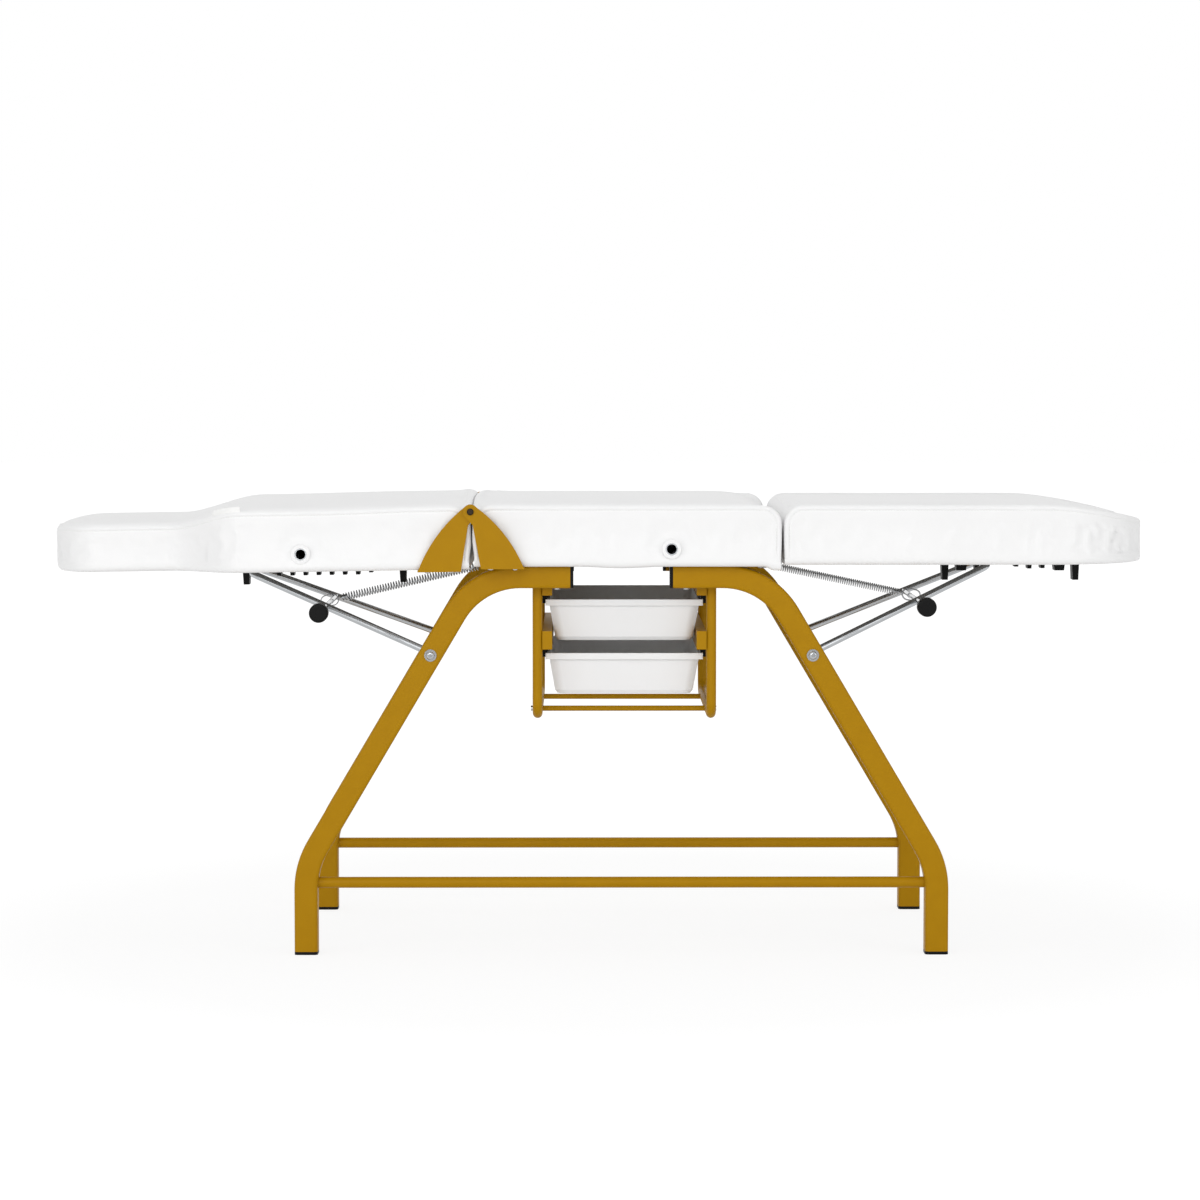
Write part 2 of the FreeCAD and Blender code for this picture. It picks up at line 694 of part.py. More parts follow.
def tapered_peg(x, base, tip, top, bottom):
    half = RACK_WIDTH / 2
    corners = [V(x - base / 2, -half, top), V(x + base / 2, -half, top),
               V(x + tip / 2, -half, bottom), V(x - tip / 2, -half, bottom), V(x - base / 2, -half, top)]
    return Part.Face(Part.makePolygon(corners)).extrude(ACROSS * RACK_WIDTH)


def bar_track(pivot, bar, hinge, tilt, ratio):
    """Places of the strut's bar as the pad sees them, over the pad's whole travel."""
    track = []
    steps = 180
    for step in range(steps + 1):
        angle = tilt * step / steps
        track.append(turned(turned(bar, pivot, angle * ratio), hinge, -angle))
    return track


def peg_bottom(x, base, length, track):
    """A peg ends at its full length, or short enough to let the bar pass under it."""
    reach = STRUT_RADIUS + PEG_BASE / 2 + PEG_CLEARANCE
    tops = [place.z + STRUT_RADIUS + PEG_CLEARANCE for place in track[1:] if abs(place.x - x) < reach]
    return max([base - length] + tops)


def rack(base, bar_x, first, pegs, before, after, bosses, lengths, track):
    """The strip under a pad's board: pegs between two posts, with bosses inside the posts if it has them."""
    peg_length, post_length = lengths
    peg_places = [bar_x + first + PEG_PITCH * index for index in range(pegs)]
    posts = [bar_x - before, peg_places[-1] + after]
    ends = (posts[0] - RACK_SCREW_INSET * 2, posts[1] + RACK_SCREW_INSET * 2)
    solid = block(*ends, -RACK_WIDTH / 2, RACK_WIDTH / 2, base - RACK_STRIP, base)
    for x in peg_places:
        bottom = base - peg_length if x < bar_x else peg_bottom(x, base, peg_length, track)
        solid = solid.fuse(tapered_peg(x, PEG_BASE, PEG_TIP, base - RACK_STRIP / 2, bottom))
    for x in ([posts[0] + bosses, posts[1] - bosses] if bosses else []):
        bottom = base - peg_length if x < bar_x else peg_bottom(x, base, peg_length, track)
        solid = solid.fuse(tapered_peg(x, LEG_BOSS_BASE, LEG_BOSS_TIP, base - RACK_STRIP / 2, bottom))
    for x in posts:
        solid = solid.fuse(tapered_peg(x, POST_BASE, POST_TIP, base - RACK_STRIP / 2, base - post_length))
    return solid.removeSplitter(), posts


# Springs

def arc_from(start, tangent, end):
    chord = end - start
    half_turn = chord.getAngle(tangent)
    meet = start + tangent * (chord.Length / 2 / math.cos(half_turn))
    middle = (start + end) * 0.5
    share = math.tan(half_turn / 2) / math.tan(half_turn)
    return Part.Arc(start, middle + (meet - middle) * share, end).toShape()


def biarc(start, start_way, end, end_way):
    """Two arcs that leave start along start_way, meet with one tangent and reach end along end_way."""
    chord = end - start
    a = 2 * (1 - start_way.dot(end_way))
    b = 2 * chord.dot(start_way + end_way)
    c = -chord.dot(chord)
    reach = (-b + math.sqrt(b * b - 4 * a * c)) / (2 * a)
    near = start + start_way * reach
    far = end - end_way * reach
    joint = (near + far) * 0.5
    joint_way = (far - near).normalize()
    return [arc_from(start, start_way, joint), arc_from(joint, joint_way, end)]


def helix_point(turn, radius, pitch):
    angle = 2 * math.pi * turn
    return V(radius * math.cos(angle), radius * math.sin(angle), pitch * turn)


def helix_way(turn, radius, pitch):
    angle = 2 * math.pi * turn
    return V(-radius * math.sin(angle), radius * math.cos(angle), pitch / (2 * math.pi)).normalize()


def least_gap(radius, pitch, wire):
    """Least gap between neighbouring turns, measured on points of the centre line."""
    points = [helix_point(step / 48, radius, pitch) for step in range(48 * 3)]
    far_apart = [(one - other).Length for index, one in enumerate(points) for other in points[index + 24:]]
    return min(far_apart) - wire


def coil(radius, wire, length):
    """One unbroken wire: a straight end, the turns and a straight end, from z = 0 to the length."""
    pitch = length / SPRING_TURNS
    first = helix_point(0, radius, pitch)
    way = helix_way(0, radius, pitch)
    edges = [Part.LineSegment(first - way * wire, first).toShape()]
    for half_turn in range(SPRING_TURNS * 2):
        start = half_turn / 2
        end = start + 0.5
        edges.extend(biarc(helix_point(start, radius, pitch), helix_way(start, radius, pitch),
                           helix_point(end, radius, pitch), helix_way(end, radius, pitch)))
    last = helix_point(SPRING_TURNS, radius, pitch)
    way = helix_way(SPRING_TURNS, radius, pitch)
    edges.append(Part.LineSegment(last, last + way * wire).toShape())
    way = helix_way(0, radius, pitch)
    section = Part.Wire(Part.makeCircle(wire / 2, first - way * wire, way))
    return Part.Wire(edges).makePipeShell([section], True, False), least_gap(radius, pitch, wire)


def spring_pieces(anchor, hold, radius, wire, hold_radius):
    """Coil with the eye on its anchor pin, and the hook on the release rod, from anchor to hold."""
    line = hold - anchor
    length = line.Length
    turns_length = length - 2 * SPRING_END
    turns, gap = coil(radius, wire, turns_length)
    turns.translate(UP * SPRING_END)
    plug_radius = radius - wire / 2 - FOAM_CLEARANCE - 0.1
    eye = end_eye(ANCHOR_PIN_RADIUS + EYE_CLEARANCE, wire, plug_radius, 0.0)
    hook = end_eye(hold_radius + HOOK_CLEARANCE, wire, plug_radius, HOOK_SLACK)
    hook.rotate(V(0, 0, 0), ACROSS, 180.0)
    hook.translate(UP * length)
    placed = []
    tilt = FreeCAD.Rotation(UP, line)
    for shape in (turns, eye, hook):
        shape.Placement = FreeCAD.Placement(anchor, tilt).multiply(shape.Placement)
        placed.append(shape)
    return [placed[0], placed[1]], placed[2], gap


def end_eye(inner, wire, plug_radius, slack):
    """An eye about Y, drawn out by the slack, with a stem to the plug that the end turns are wound on."""
    reach = inner + wire / 2
    loop = Part.makeTorus(reach, wire / 2, V(0, 0, 0), ACROSS)
    if slack > 0:
        upper = block(-PAD_WIDTH, PAD_WIDTH, -PAD_WIDTH, PAD_WIDTH, 0, PAD_WIDTH)
        lower = block(-PAD_WIDTH, PAD_WIDTH, -PAD_WIDTH, PAD_WIDTH, -PAD_WIDTH, 0)
        end = loop.common(lower)
        end.translate(UP * -slack)
        loop = loop.common(upper).fuse(end)
        for x in (-reach, reach):
            loop = loop.fuse(rod(V(x, 0, -slack), V(x, 0, 0), wire / 2))
    stem_length = SPRING_END - inner - wire / 2 + PLUG_INSIDE
    stem = Part.makeCylinder(wire / 2, stem_length, V(0, 0, inner + wire / 2), UP)
    plug = Part.makeCylinder(plug_radius, PLUG_INSIDE, V(0, 0, SPRING_END), UP)
    return loop.fuse(stem).fuse(plug)


def spring_anchor(pin):
    """Two ears under the seat's board with a pin for the spring's eye between them."""
    half = ANCHOR_EAR_GAP / 2
    top = SEAT_BASE - COVER_SKIN
    solid = block(pin.x - ANCHOR_EAR_WIDTH / 2, pin.x + ANCHOR_EAR_WIDTH / 2, pin.y - half - ANCHOR_EAR,
                  pin.y + half + ANCHOR_EAR, top - ANCHOR_EAR, top)
    for start in (pin.y - half - ANCHOR_EAR, pin.y + half):
        ear = block(pin.x - ANCHOR_EAR_WIDTH / 2, pin.x + ANCHOR_EAR_WIDTH / 2, start, start + ANCHOR_EAR,
                    pin.z - ANCHOR_EAR_WIDTH / 2, top)
        solid = solid.fuse(ear)
    return solid.fuse(rod(pin - ACROSS * half, pin + ACROSS * half, ANCHOR_PIN_RADIUS)).removeSplitter()


# Hanger and trays

def hanger_loop(x):
    top = FRAME_TOP - LOOP_TOP_GAP
    points = [V(x, -LOOP_PLANE, top), V(x, -LOOP_PLANE, LOOP_BOTTOM),
              V(x, LOOP_PLANE, LOOP_BOTTOM), V(x, LOOP_PLANE, top)]
    return round_bar(points, [LOOP_BEND, LOOP_BEND], LOOP_RADIUS)


RAIL_OUTER = LOOP_REACH - LOOP_RADIUS
RAIL_INNER = RAIL_OUTER - RAIL_WIDTH
RIM_HALF = RAIL_OUTER - GUIDE_WEB - RIM_SIDE_CLEARANCE
GUIDE_INNER = RAIL_OUTER - GUIDE_WIDTH
TRAY_HALF = GUIDE_INNER - TRAY_BODY_GAP


def rail(side, bottom):
    near, far = sorted([TRAY_X + side * RAIL_INNER, TRAY_X + side * RAIL_OUTER])
    reach = TUBE_INNER_FACE - RAIL_END_GAP
    return block(near, far, -reach, reach, bottom, bottom + RAIL_HEIGHT)


def rim_top(rail_bottom):
    return rail_bottom - GUIDE_TOP - RIM_CLEARANCE


def guide(side, rail_bottom):
    """A plastic channel under a rail with a slot for the tray's rim and a stop at its far end."""
    near, far = sorted([TRAY_X + side * GUIDE_INNER, TRAY_X + side * RAIL_OUTER])
    start = -TRAY_DEPTH / 2 + GUIDE_SETBACK
    end = TRAY_DEPTH / 2 + GUIDE_STOP
    solid = block(near, far, start, end, rail_bottom - GUIDE_HEIGHT, rail_bottom)
    web = TRAY_X + side * (RAIL_OUTER - GUIDE_WEB)
    near, far = sorted([TRAY_X + side * (GUIDE_INNER - GUIDE_WEB), web])
    top = rim_top(rail_bottom) + RIM_CLEARANCE
    stop = TRAY_DEPTH / 2 + RIM_CLEARANCE
    slot = block(near, far, start - GUIDE_STOP, stop, top - TRAY_RIM - 2 * RIM_CLEARANCE, top)
    return solid.cut(slot)


def tray_body(top, half_x, half_y, height, corner):
    low = V(TRAY_X, 0, top - height)
    high = V(TRAY_X, 0, top)
    knee = V(TRAY_X, 0, top - height + TRAY_BOTTOM_ROUND)
    share = 1 - TRAY_BOTTOM_ROUND / height
    inset = TRAY_DRAFT + TRAY_BOTTOM_ROUND / 2
    sections = [
        rounded_rectangle(low, half_x - inset, half_y - inset, corner),
        rounded_rectangle(knee, half_x - TRAY_DRAFT * share, half_y - TRAY_DRAFT * share, corner),
        rounded_rectangle(high, half_x, half_y, corner)]
    return Part.makeLoft(sections, True, True)


def tray(rail_bottom):
    top = rim_top(rail_bottom)
    half_y = TRAY_DEPTH / 2
    body_half_y = half_y - (RIM_HALF - TRAY_HALF)
    outline = rounded_rectangle(V(TRAY_X, 0, top - TRAY_RIM), RIM_HALF, half_y, TRAY_LIP / 2)
    rim = Part.Face(outline).extrude(UP * TRAY_RIM)
    lip = block(TRAY_X - RIM_HALF, TRAY_X + RIM_HALF, -half_y, -half_y + TRAY_RIM, top - TRAY_LIP, top)
    corner_round = [edge for edge in lip.Edges
                    if abs(edge.tangentAt(0).z) > 0.9 and edge.CenterOfMass.y < -half_y + 1]
    lip = lip.makeFillet(TRAY_RIM * 0.8, corner_round)
    outer = tray_body(top, TRAY_HALF, body_half_y, TRAY_HEIGHT, TRAY_CORNER)
    inner = tray_body(top + TRAY_WALL, TRAY_HALF - TRAY_WALL, body_half_y - TRAY_WALL, TRAY_HEIGHT,
                      TRAY_CORNER - TRAY_WALL)
    return rim.fuse(lip).fuse(outer).cut(inner).removeSplitter()


# Leaf hinges under the legrest joint

def leaf(side, under, spans, bore_radius):
    """One leaf on the near side: its plate under a pad and its share of the knuckles."""
    near, far = sorted([LEG_PIVOT.x + side * (KNUCKLE_RADIUS + SIDE_CLEARANCE),
                        LEG_PIVOT.x + side * LEAF_LENGTH])
    low = -LEAF_PLANE - LEAF_WIDTH / 2
    plate = block(near, far, low, low + LEAF_WIDTH, under - LEAF_THICKNESS, under)
    clear = LEG_PIVOT - ACROSS * PAD_WIDTH
    solid = plate
    for start, end in spans:
        strap = block(*sorted([LEG_PIVOT.x, LEG_PIVOT.x + side * KNUCKLE_RADIUS * 1.5]), start, end,
                      under - LEAF_THICKNESS, under)
        web = block(*sorted([LEG_PIVOT.x, LEG_PIVOT.x + side * KNUCKLE_RADIUS]), start, end,
                    LEG_PIVOT.z, under)
        solid = solid.fuse(strap.fuse(web))
        solid = solid.fuse(rod(LEG_PIVOT + ACROSS * start, LEG_PIVOT + ACROSS * end, KNUCKLE_RADIUS))
    bore = rod(clear, LEG_PIVOT, bore_radius)
    return solid.cut(bore).removeSplitter()


def leaf_screw_places(side, under):
    z = under - LEAF_THICKNESS
    return [V(LEG_PIVOT.x + side * reach, -LEAF_PLANE + y, z) for reach in (LEAF_SCREW_NEAR, LEAF_SCREW_FAR)
            for y in (-LEAF_WIDTH / 4, LEAF_WIDTH / 4)]


def build():
    nodes = {}

    # Pads
    back_open = cover_opening(BACK_START + HEAD_LENGTH + COVER_LIP, BACK_END - COVER_LIP, NARROW_OPENING,
                              BACK_BASE)
    back_board, back_foam, back_cover = pad_pieces(BACK_START, BACK_LENGTH, back_stations(), back_profile,
                                                   BACK_BASE, BACK_CROWN, back_open)
    seat_open = cover_opening(SEAT_START + COVER_LIP, SEAT_END - COVER_LIP, HALF_WIDTH - COVER_LIP, SEAT_BASE)
    seat_board, seat_foam, seat_cover = pad_pieces(SEAT_START, SEAT_LENGTH, seat_stations(), seat_profile,
                                                   SEAT_BASE, SEAT_CROWN, seat_open)
    leg_open = cover_opening(LEG_START + COVER_LIP, LEG_FINISH - LEG_END, HALF_WIDTH - COVER_LIP, LEG_BASE)
    leg_open = leg_open.fuse(cover_opening(LEG_START + COVER_LIP, LEG_RACK_END + RACK_SCREW_INSET,
                                           NARROW_OPENING, LEG_BASE))
    leg_board, leg_foam, leg_cover = pad_pieces(LEG_START, LEG_LENGTH, leg_stations(), leg_profile,
                                                LEG_BASE, LEG_CROWN, leg_open)

    # Armrest sockets in the sides of the backrest and the seat
    back_socket = socket_place(-BACK_SOCKET_FROM_HINGE, BACK_BASE)
    seat_socket = socket_place(SEAT_SOCKET_FROM_HINGE, SEAT_BASE)
    back_pockets = both_sides(socket_pocket(back_socket))
    seat_pockets = both_sides(socket_pocket(seat_socket))
    back_foam = cut_all(back_foam, back_pockets)
    back_cover = cut_all(back_cover, back_pockets)
    seat_foam = cut_all(seat_foam, seat_pockets)
    seat_cover = cut_all(seat_cover, seat_pockets)
    back_mouth = turned(back_socket, BACK_PIVOT, -BACK_DROOP)
    nodes["back_arm_sockets"] = group(both_sides(socket_tube(back_mouth)))
    nodes["seat_arm_sockets"] = group(both_sides(socket_tube(seat_socket)))
    nodes["back_socket_rosettes"] = drooped(group(both_sides(rosette(back_socket))))
    nodes["seat_socket_rosettes"] = group(both_sides(rosette(seat_socket)))

    # Hinge plates: the backrest's lie next to the pads, the seat's outside them
    back_face = HALF_WIDTH + PLATE_GAP
    seat_face = back_face + PLATE_THICKNESS + SIDE_CLEARANCE
    grip = PLATE_THICKNESS + COVER_SKIN
    back_places = flange_screw_places(-1, BACK_BASE)
    seat_places = flange_screw_places(1, SEAT_BASE)
    back_shanks = shanks_up(back_places, grip)
    seat_shanks = shanks_up(seat_places, grip)
    back_plate = cut_all(hinge_plate(-1, back_face, BACK_BASE, BOLT_RADIUS + RUNNING_CLEARANCE), back_shanks)
    seat_plate = cut_all(hinge_plate(1, seat_face, SEAT_BASE, BOLT_RADIUS), seat_shanks)
    nodes["back_hinge_plates"] = drooped(group(both_sides(back_plate)))
    nodes["seat_hinge_plates"] = group(both_sides(seat_plate))
    back_screws = screws_up(back_places, grip)
    seat_screws = screws_up(seat_places, grip)
    nodes["back_hinge_screws"] = drooped(group(back_screws + [far_copy(screw) for screw in back_screws]))
    nodes["seat_hinge_screws"] = group(seat_screws + [far_copy(screw) for screw in seat_screws])
    bolt_start = BACK_PIVOT - ACROSS * (HALF_WIDTH + SIDE_CLEARANCE)
    bolt_foot = rod(bolt_start, BACK_PIVOT - ACROSS * (back_face - SIDE_CLEARANCE), HINGE_FOOT_RADIUS)
    bolt_end = BACK_PIVOT - ACROSS * (seat_face + PLATE_THICKNESS)
    bolt_head = rod(bolt_end, bolt_end - ACROSS * HINGE_HEAD_HEIGHT, HINGE_HEAD_RADIUS)
    head_rim = [edge for edge in bolt_head.Edges
                if edge.Closed and edge.CenterOfMass.y < bolt_end.y - HINGE_HEAD_HEIGHT / 2]
    bolt_head = bolt_head.makeFillet(HINGE_HEAD_HEIGHT * 0.6, head_rim)
    hinge_bolt = bolt_foot.fuse(rod(bolt_start, bolt_end, BOLT_RADIUS)).fuse(bolt_head).removeSplitter()
    nodes["back_hinge_bolts"] = group(both_sides(hinge_bolt))

    # Leaf hinges of the legrest
    seat_under = SEAT_BASE - COVER_SKIN
    leg_under = LEG_BASE - COVER_SKIN
    low = -LEAF_PLANE - LEAF_WIDTH / 2
    third = LEAF_WIDTH / 3
    outer_spans = [(low, low + third - SIDE_CLEARANCE / 2),
                   (low + 2 * third + SIDE_CLEARANCE / 2, low + LEAF_WIDTH)]
    inner_spans = [(low + third + SIDE_CLEARANCE / 2, low + 2 * third - SIDE_CLEARANCE / 2)]
    leaf_grip = LEAF_THICKNESS + COVER_SKIN
    seat_leaf_places = leaf_screw_places(-1, seat_under)
    leg_leaf_places = leaf_screw_places(1, leg_under)
    seat_leaf_shanks = shanks_up(seat_leaf_places, leaf_grip)
    leg_leaf_shanks = shanks_up(leg_leaf_places, leaf_grip)
    seat_leaf = cut_all(leaf(-1, seat_under, outer_spans, HINGE_PIN_RADIUS), seat_leaf_shanks)
    leg_leaf = cut_all(leaf(1, leg_under, inner_spans, HINGE_PIN_RADIUS + RUNNING_CLEARANCE), leg_leaf_shanks)
    nodes["seat_hinge_leaves"] = group(both_sides(seat_leaf))
    nodes["leg_hinge_leaves"] = group(both_sides(leg_leaf))
    seat_leaf_screws = screws_up(seat_leaf_places, leaf_grip)
    leg_leaf_screws = screws_up(leg_leaf_places, leaf_grip)
    nodes["seat_leaf_screws"] = group(seat_leaf_screws + [far_copy(screw) for screw in seat_leaf_screws])
    nodes["leg_leaf_screws"] = group(leg_leaf_screws + [far_copy(screw) for screw in leg_leaf_screws])
    pin = rod(LEG_PIVOT + ACROSS * low, LEG_PIVOT + ACROSS * (low + LEAF_WIDTH), HINGE_PIN_RADIUS)
    nodes["leg_hinge_pins"] = group(both_sides(pin))

    # Legs, caps, stretchers and cross members
    sides = {"head": -1, "foot": 1}
    bars = {name: leg_bar(side) for name, side in sides.items()}
    seat_bolt_places = [V(FRAME_X + side * SEAT_BAR_REACH, -LEG_PLANE, FRAME_TOP - TUBE)
                        for side in sides.values()]
    seat_bolt_grip = TUBE
    seat_bolts = screws_up(seat_bolt_places, seat_bolt_grip)
    seat_bolt_shanks = shanks_up(seat_bolt_places, seat_bolt_grip)
    pivots = {name: strut_pivot(side) for name, side in sides.items()}
    for name, side in sides.items():
        pivot_hole = rod(pivots[name] - ACROSS * PAD_WIDTH, pivots[name], BOLT_RADIUS)
        leg = cut_all(bars[name].cut(leg_core(side)), [pivot_hole] + seat_bolt_shanks)
        nodes[name + "_leg_near"] = leg
        nodes[name + "_leg_far"] = far_copy(leg)
        cross_x = leg_x_at(CROSS_TUBE_HEIGHT, side)
        cross_start = V(cross_x, -TUBE_INNER_FACE, CROSS_TUBE_HEIGHT)
        cross_end = V(cross_x, TUBE_INNER_FACE, CROSS_TUBE_HEIGHT)
        nodes[name + "_cross_tube"] = ring(cross_start, cross_end, CROSS_TUBE_RADIUS,
                                           CROSS_TUBE_RADIUS - TUBE_WALL)
    foot_caps = [foot_cap(side) for side in sides.values()]
    end_caps = [tube_end_cap(side) for side in sides.values()]
    nodes["foot_caps"] = group(foot_caps + [far_copy(cap) for cap in foot_caps])
    nodes["tube_end_caps"] = group(end_caps + [far_copy(cap) for cap in end_caps])
    stretcher = rod(V(FRAME_X - FOOT_PLACE, -LEG_PLANE, STRETCHER_HEIGHT),
                    V(FRAME_X + FOOT_PLACE, -LEG_PLANE, STRETCHER_HEIGHT),
                    STRETCHER_RADIUS)
    stretcher = cut_all(stretcher, bars.values())
    nodes["stretcher_rods"] = group(both_sides(stretcher))
    seat_bars = []
    for side in sides.values():
        middle = FRAME_X + side * SEAT_BAR_REACH
        seat_bars.append(block(middle - SEAT_BAR_WIDTH / 2, middle + SEAT_BAR_WIDTH / 2,
                               -TUBE_INNER_FACE, TUBE_INNER_FACE, FRAME_TOP - SEAT_BAR_HEIGHT, FRAME_TOP))
    nodes["seat_cross_bars"] = group(seat_bars)
    nodes["seat_fixing_bolts"] = group(seat_bolts + [far_copy(bolt) for bolt in seat_bolts])

    # Struts with their release rods and knobs
    bolts = [pivot_bolt(pivots[name]) for name in sides]
    nuts = [pivot_nut(pivots[name]) for name in sides]
    nodes["strut_pivot_bolts"] = group(bolts + [far_copy(bolt) for bolt in bolts])
    nodes["strut_pivot_nuts"] = group(nuts + [far_copy(nut) for nut in nuts])
    back_bar_level = V(BACK_PIVOT.x - BACK_BAR_FROM_PIVOT, 0, BACK_BASE - BACK_BAR_DROP)
    back_bar = turned(back_bar_level, BACK_PIVOT, -BACK_DROOP)
    leg_bar_place = V(LEG_PIVOT.x + LEG_BAR_FROM_PIVOT, 0, LEG_BASE - LEG_BAR_DROP)
    back_rod = pivots["head"] + (back_bar - pivots["head"]).normalize() * BACK_ROD_DISTANCE
    leg_rod = pivots["foot"] + (leg_bar_place - pivots["foot"]).normalize() * LEG_ROD_DISTANCE
    for name, pivot, bar, place in (("back", pivots["head"], back_bar, back_rod),
                                    ("leg", pivots["foot"], leg_bar_place, leg_rod)):
        crossing = release_rod(place)
        nodes[name + "_strut"] = strut(pivot, bar).cut(crossing)
        nodes[name + "_release_rod"] = crossing
        nodes[name + "_release_knob"] = knob(place)

    # Racks, each shaped to the track of its strut's bar
    back_track = [turned(place, BACK_PIVOT, BACK_DROOP) for place in
                  bar_track(pivots["head"], back_bar, BACK_PIVOT, BACK_TILT, BACK_STRUT_RATIO)]
    leg_track = bar_track(pivots["foot"], leg_bar_place, LEG_PIVOT, LEG_TILT, LEG_STRUT_RATIO)
    back_rack, back_posts = rack(BACK_BASE, back_bar_level.x, BACK_FIRST_PEG, BACK_PEGS, BACK_POST_BEFORE,
                                 BACK_POST_AFTER, 0, (BACK_PEG_LENGTH, BACK_POST_LENGTH), back_track)
    leg_rack, leg_posts = rack(LEG_BASE, leg_bar_place.x, LEG_FIRST_PEG, LEG_PEGS, LEG_POST_BEFORE,
                               LEG_POST_AFTER, LEG_BOSS_INSET, (PEG_LENGTH, POST_LENGTH), leg_track)
    insets = (-RACK_SCREW_INSET, RACK_SCREW_INSET)
    back_rack_places = [V(x + shift, 0, BACK_BASE - RACK_STRIP) for x, shift in zip(back_posts, insets)]
    leg_rack_places = [V(x + shift, 0, LEG_BASE - RACK_STRIP) for x, shift in zip(leg_posts, insets)]

    # Hanger, rails, guides and trays
    loops = [hanger_loop(TRAY_X + side * LOOP_REACH) for side in sides.values()]
    hanger_rods = []
    rod_screws = []
    for y in (-HANGER_ROD_PLANE, HANGER_ROD_PLANE):
        start = V(TRAY_X - LOOP_REACH, y, LOOP_BOTTOM)
        end = V(TRAY_X + LOOP_REACH, y, LOOP_BOTTOM)
        hanger_rods.append(cut_all(rod(start, end, HANGER_ROD_RADIUS), loops))
        for place, way in ((start, ALONG), (end, ALONG * -1)):
            face = place - way * LOOP_RADIUS
            shank = rod(face - way * HANGER_SCREW_HEAD / 2, face + way * (LOOP_RADIUS * 2 + SCREW_BITE),
                        HANGER_SCREW_RADIUS)
            head = rod(face - way * HANGER_SCREW_HEAD, face, HANGER_SCREW_HEAD)
            rod_screws.append((head, shank))
    shanks = [shank for head, shank in rod_screws]
    nodes["hanger_rods"] = group([cut_all(bar, shanks) for bar in hanger_rods])
    nodes["hanger_rod_screws"] = group([head.cut(group(loops)).fuse(shank).removeSplitter()
                                        for head, shank in rod_screws])
    nodes["hanger_loops"] = group([cut_all(loop, shanks) for loop in loops])
    rail_bottoms = (UPPER_RAIL_BOTTOM, LOWER_RAIL_BOTTOM)
    nodes["tray_rails"] = group([rail(side, bottom) for side in sides.values() for bottom in rail_bottoms])
    nodes["tray_guides"] = group([guide(side, bottom) for side in sides.values() for bottom in rail_bottoms])
    nodes["upper_tray"] = tray(UPPER_RAIL_BOTTOM)
    nodes["lower_tray"] = tray(LOWER_RAIL_BOTTOM)

    # Springs from anchors under the seat to the release rods
    anchors = {"back": V(SEAT_START + SPRING_ANCHOR_INSET, SPRING_PLANE, SEAT_BASE - SPRING_ANCHOR_DROP),
               "leg": V(SEAT_END - SPRING_ANCHOR_INSET, SPRING_PLANE, SEAT_BASE - SPRING_ANCHOR_DROP)}
    for name, hold, radius, wire in (("back", back_rod, BACK_SPRING_RADIUS, BACK_SPRING_WIRE),
                                     ("leg", leg_rod, LEG_SPRING_RADIUS, LEG_SPRING_WIRE)):
        wound, hook, gap = spring_pieces(anchors[name], hold + ACROSS * SPRING_PLANE, radius, wire, ROD_RADIUS)
        nodes[name + "_spring"] = group(wound)
        nodes[name + "_spring_hook"] = hook
        nodes[name + "_spring_anchor"] = spring_anchor(anchors[name])
        print(name, "spring: least gap between turns", round(gap, 2), "mm, anchor", anchors[name], "rod", hold)

    # Screw holes in the boards and covers
    rack_grip = RACK_STRIP
    back_rack_shanks = shanks_up(back_rack_places, rack_grip)
    leg_rack_shanks = shanks_up(leg_rack_places, rack_grip)
    nodes["back_rack"] = drooped(cut_all(back_rack, back_rack_shanks))
    nodes["leg_rack"] = cut_all(leg_rack, leg_rack_shanks)
    nodes["back_rack_screws"] = drooped(group(screws_up(back_rack_places, rack_grip)))
    nodes["leg_rack_screws"] = group(screws_up(leg_rack_places, rack_grip))
    back_holes = back_shanks + [far_copy(shank) for shank in back_shanks] + back_rack_shanks
    seat_holes = seat_shanks + seat_leaf_shanks + seat_bolt_shanks
    seat_holes = seat_holes + [far_copy(shank) for shank in seat_holes]
    leg_holes = leg_leaf_shanks + [far_copy(shank) for shank in leg_leaf_shanks] + leg_rack_shanks
    nodes["back_board"] = drooped(cut_all(back_board, back_holes))
    nodes["back_foam"] = drooped(back_foam)
    nodes["back_cover"] = drooped(cut_all(back_cover, back_holes))
    nodes["seat_board"] = cut_all(seat_board, seat_holes)
    nodes["seat_foam"] = seat_foam
    nodes["seat_cover"] = cut_all(seat_cover, seat_holes)
    nodes["leg_board"] = cut_all(leg_board, leg_holes)
    nodes["leg_foam"] = leg_foam
    nodes["leg_cover"] = cut_all(leg_cover, leg_holes)

    print("back pivot", BACK_PIVOT, "leg pivot", LEG_PIVOT, "strut pivots", pivots["head"], pivots["foot"])
    print("bars", back_bar, leg_bar_place, "sockets", back_mouth, seat_socket)
    return nodes


def main():
    os.makedirs("parts", exist_ok=True)
    nodes = build()
    for name, shape in nodes.items():
        shape.exportStep(os.path.join("parts", name + ".step"))
    whole = Part.makeCompound(list(nodes.values())).BoundBox
    print(len(nodes), "pieces, box", whole)


main()
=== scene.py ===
import json
import math
from collections import namedtuple

import bmesh
import bpy
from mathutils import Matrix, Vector, noise


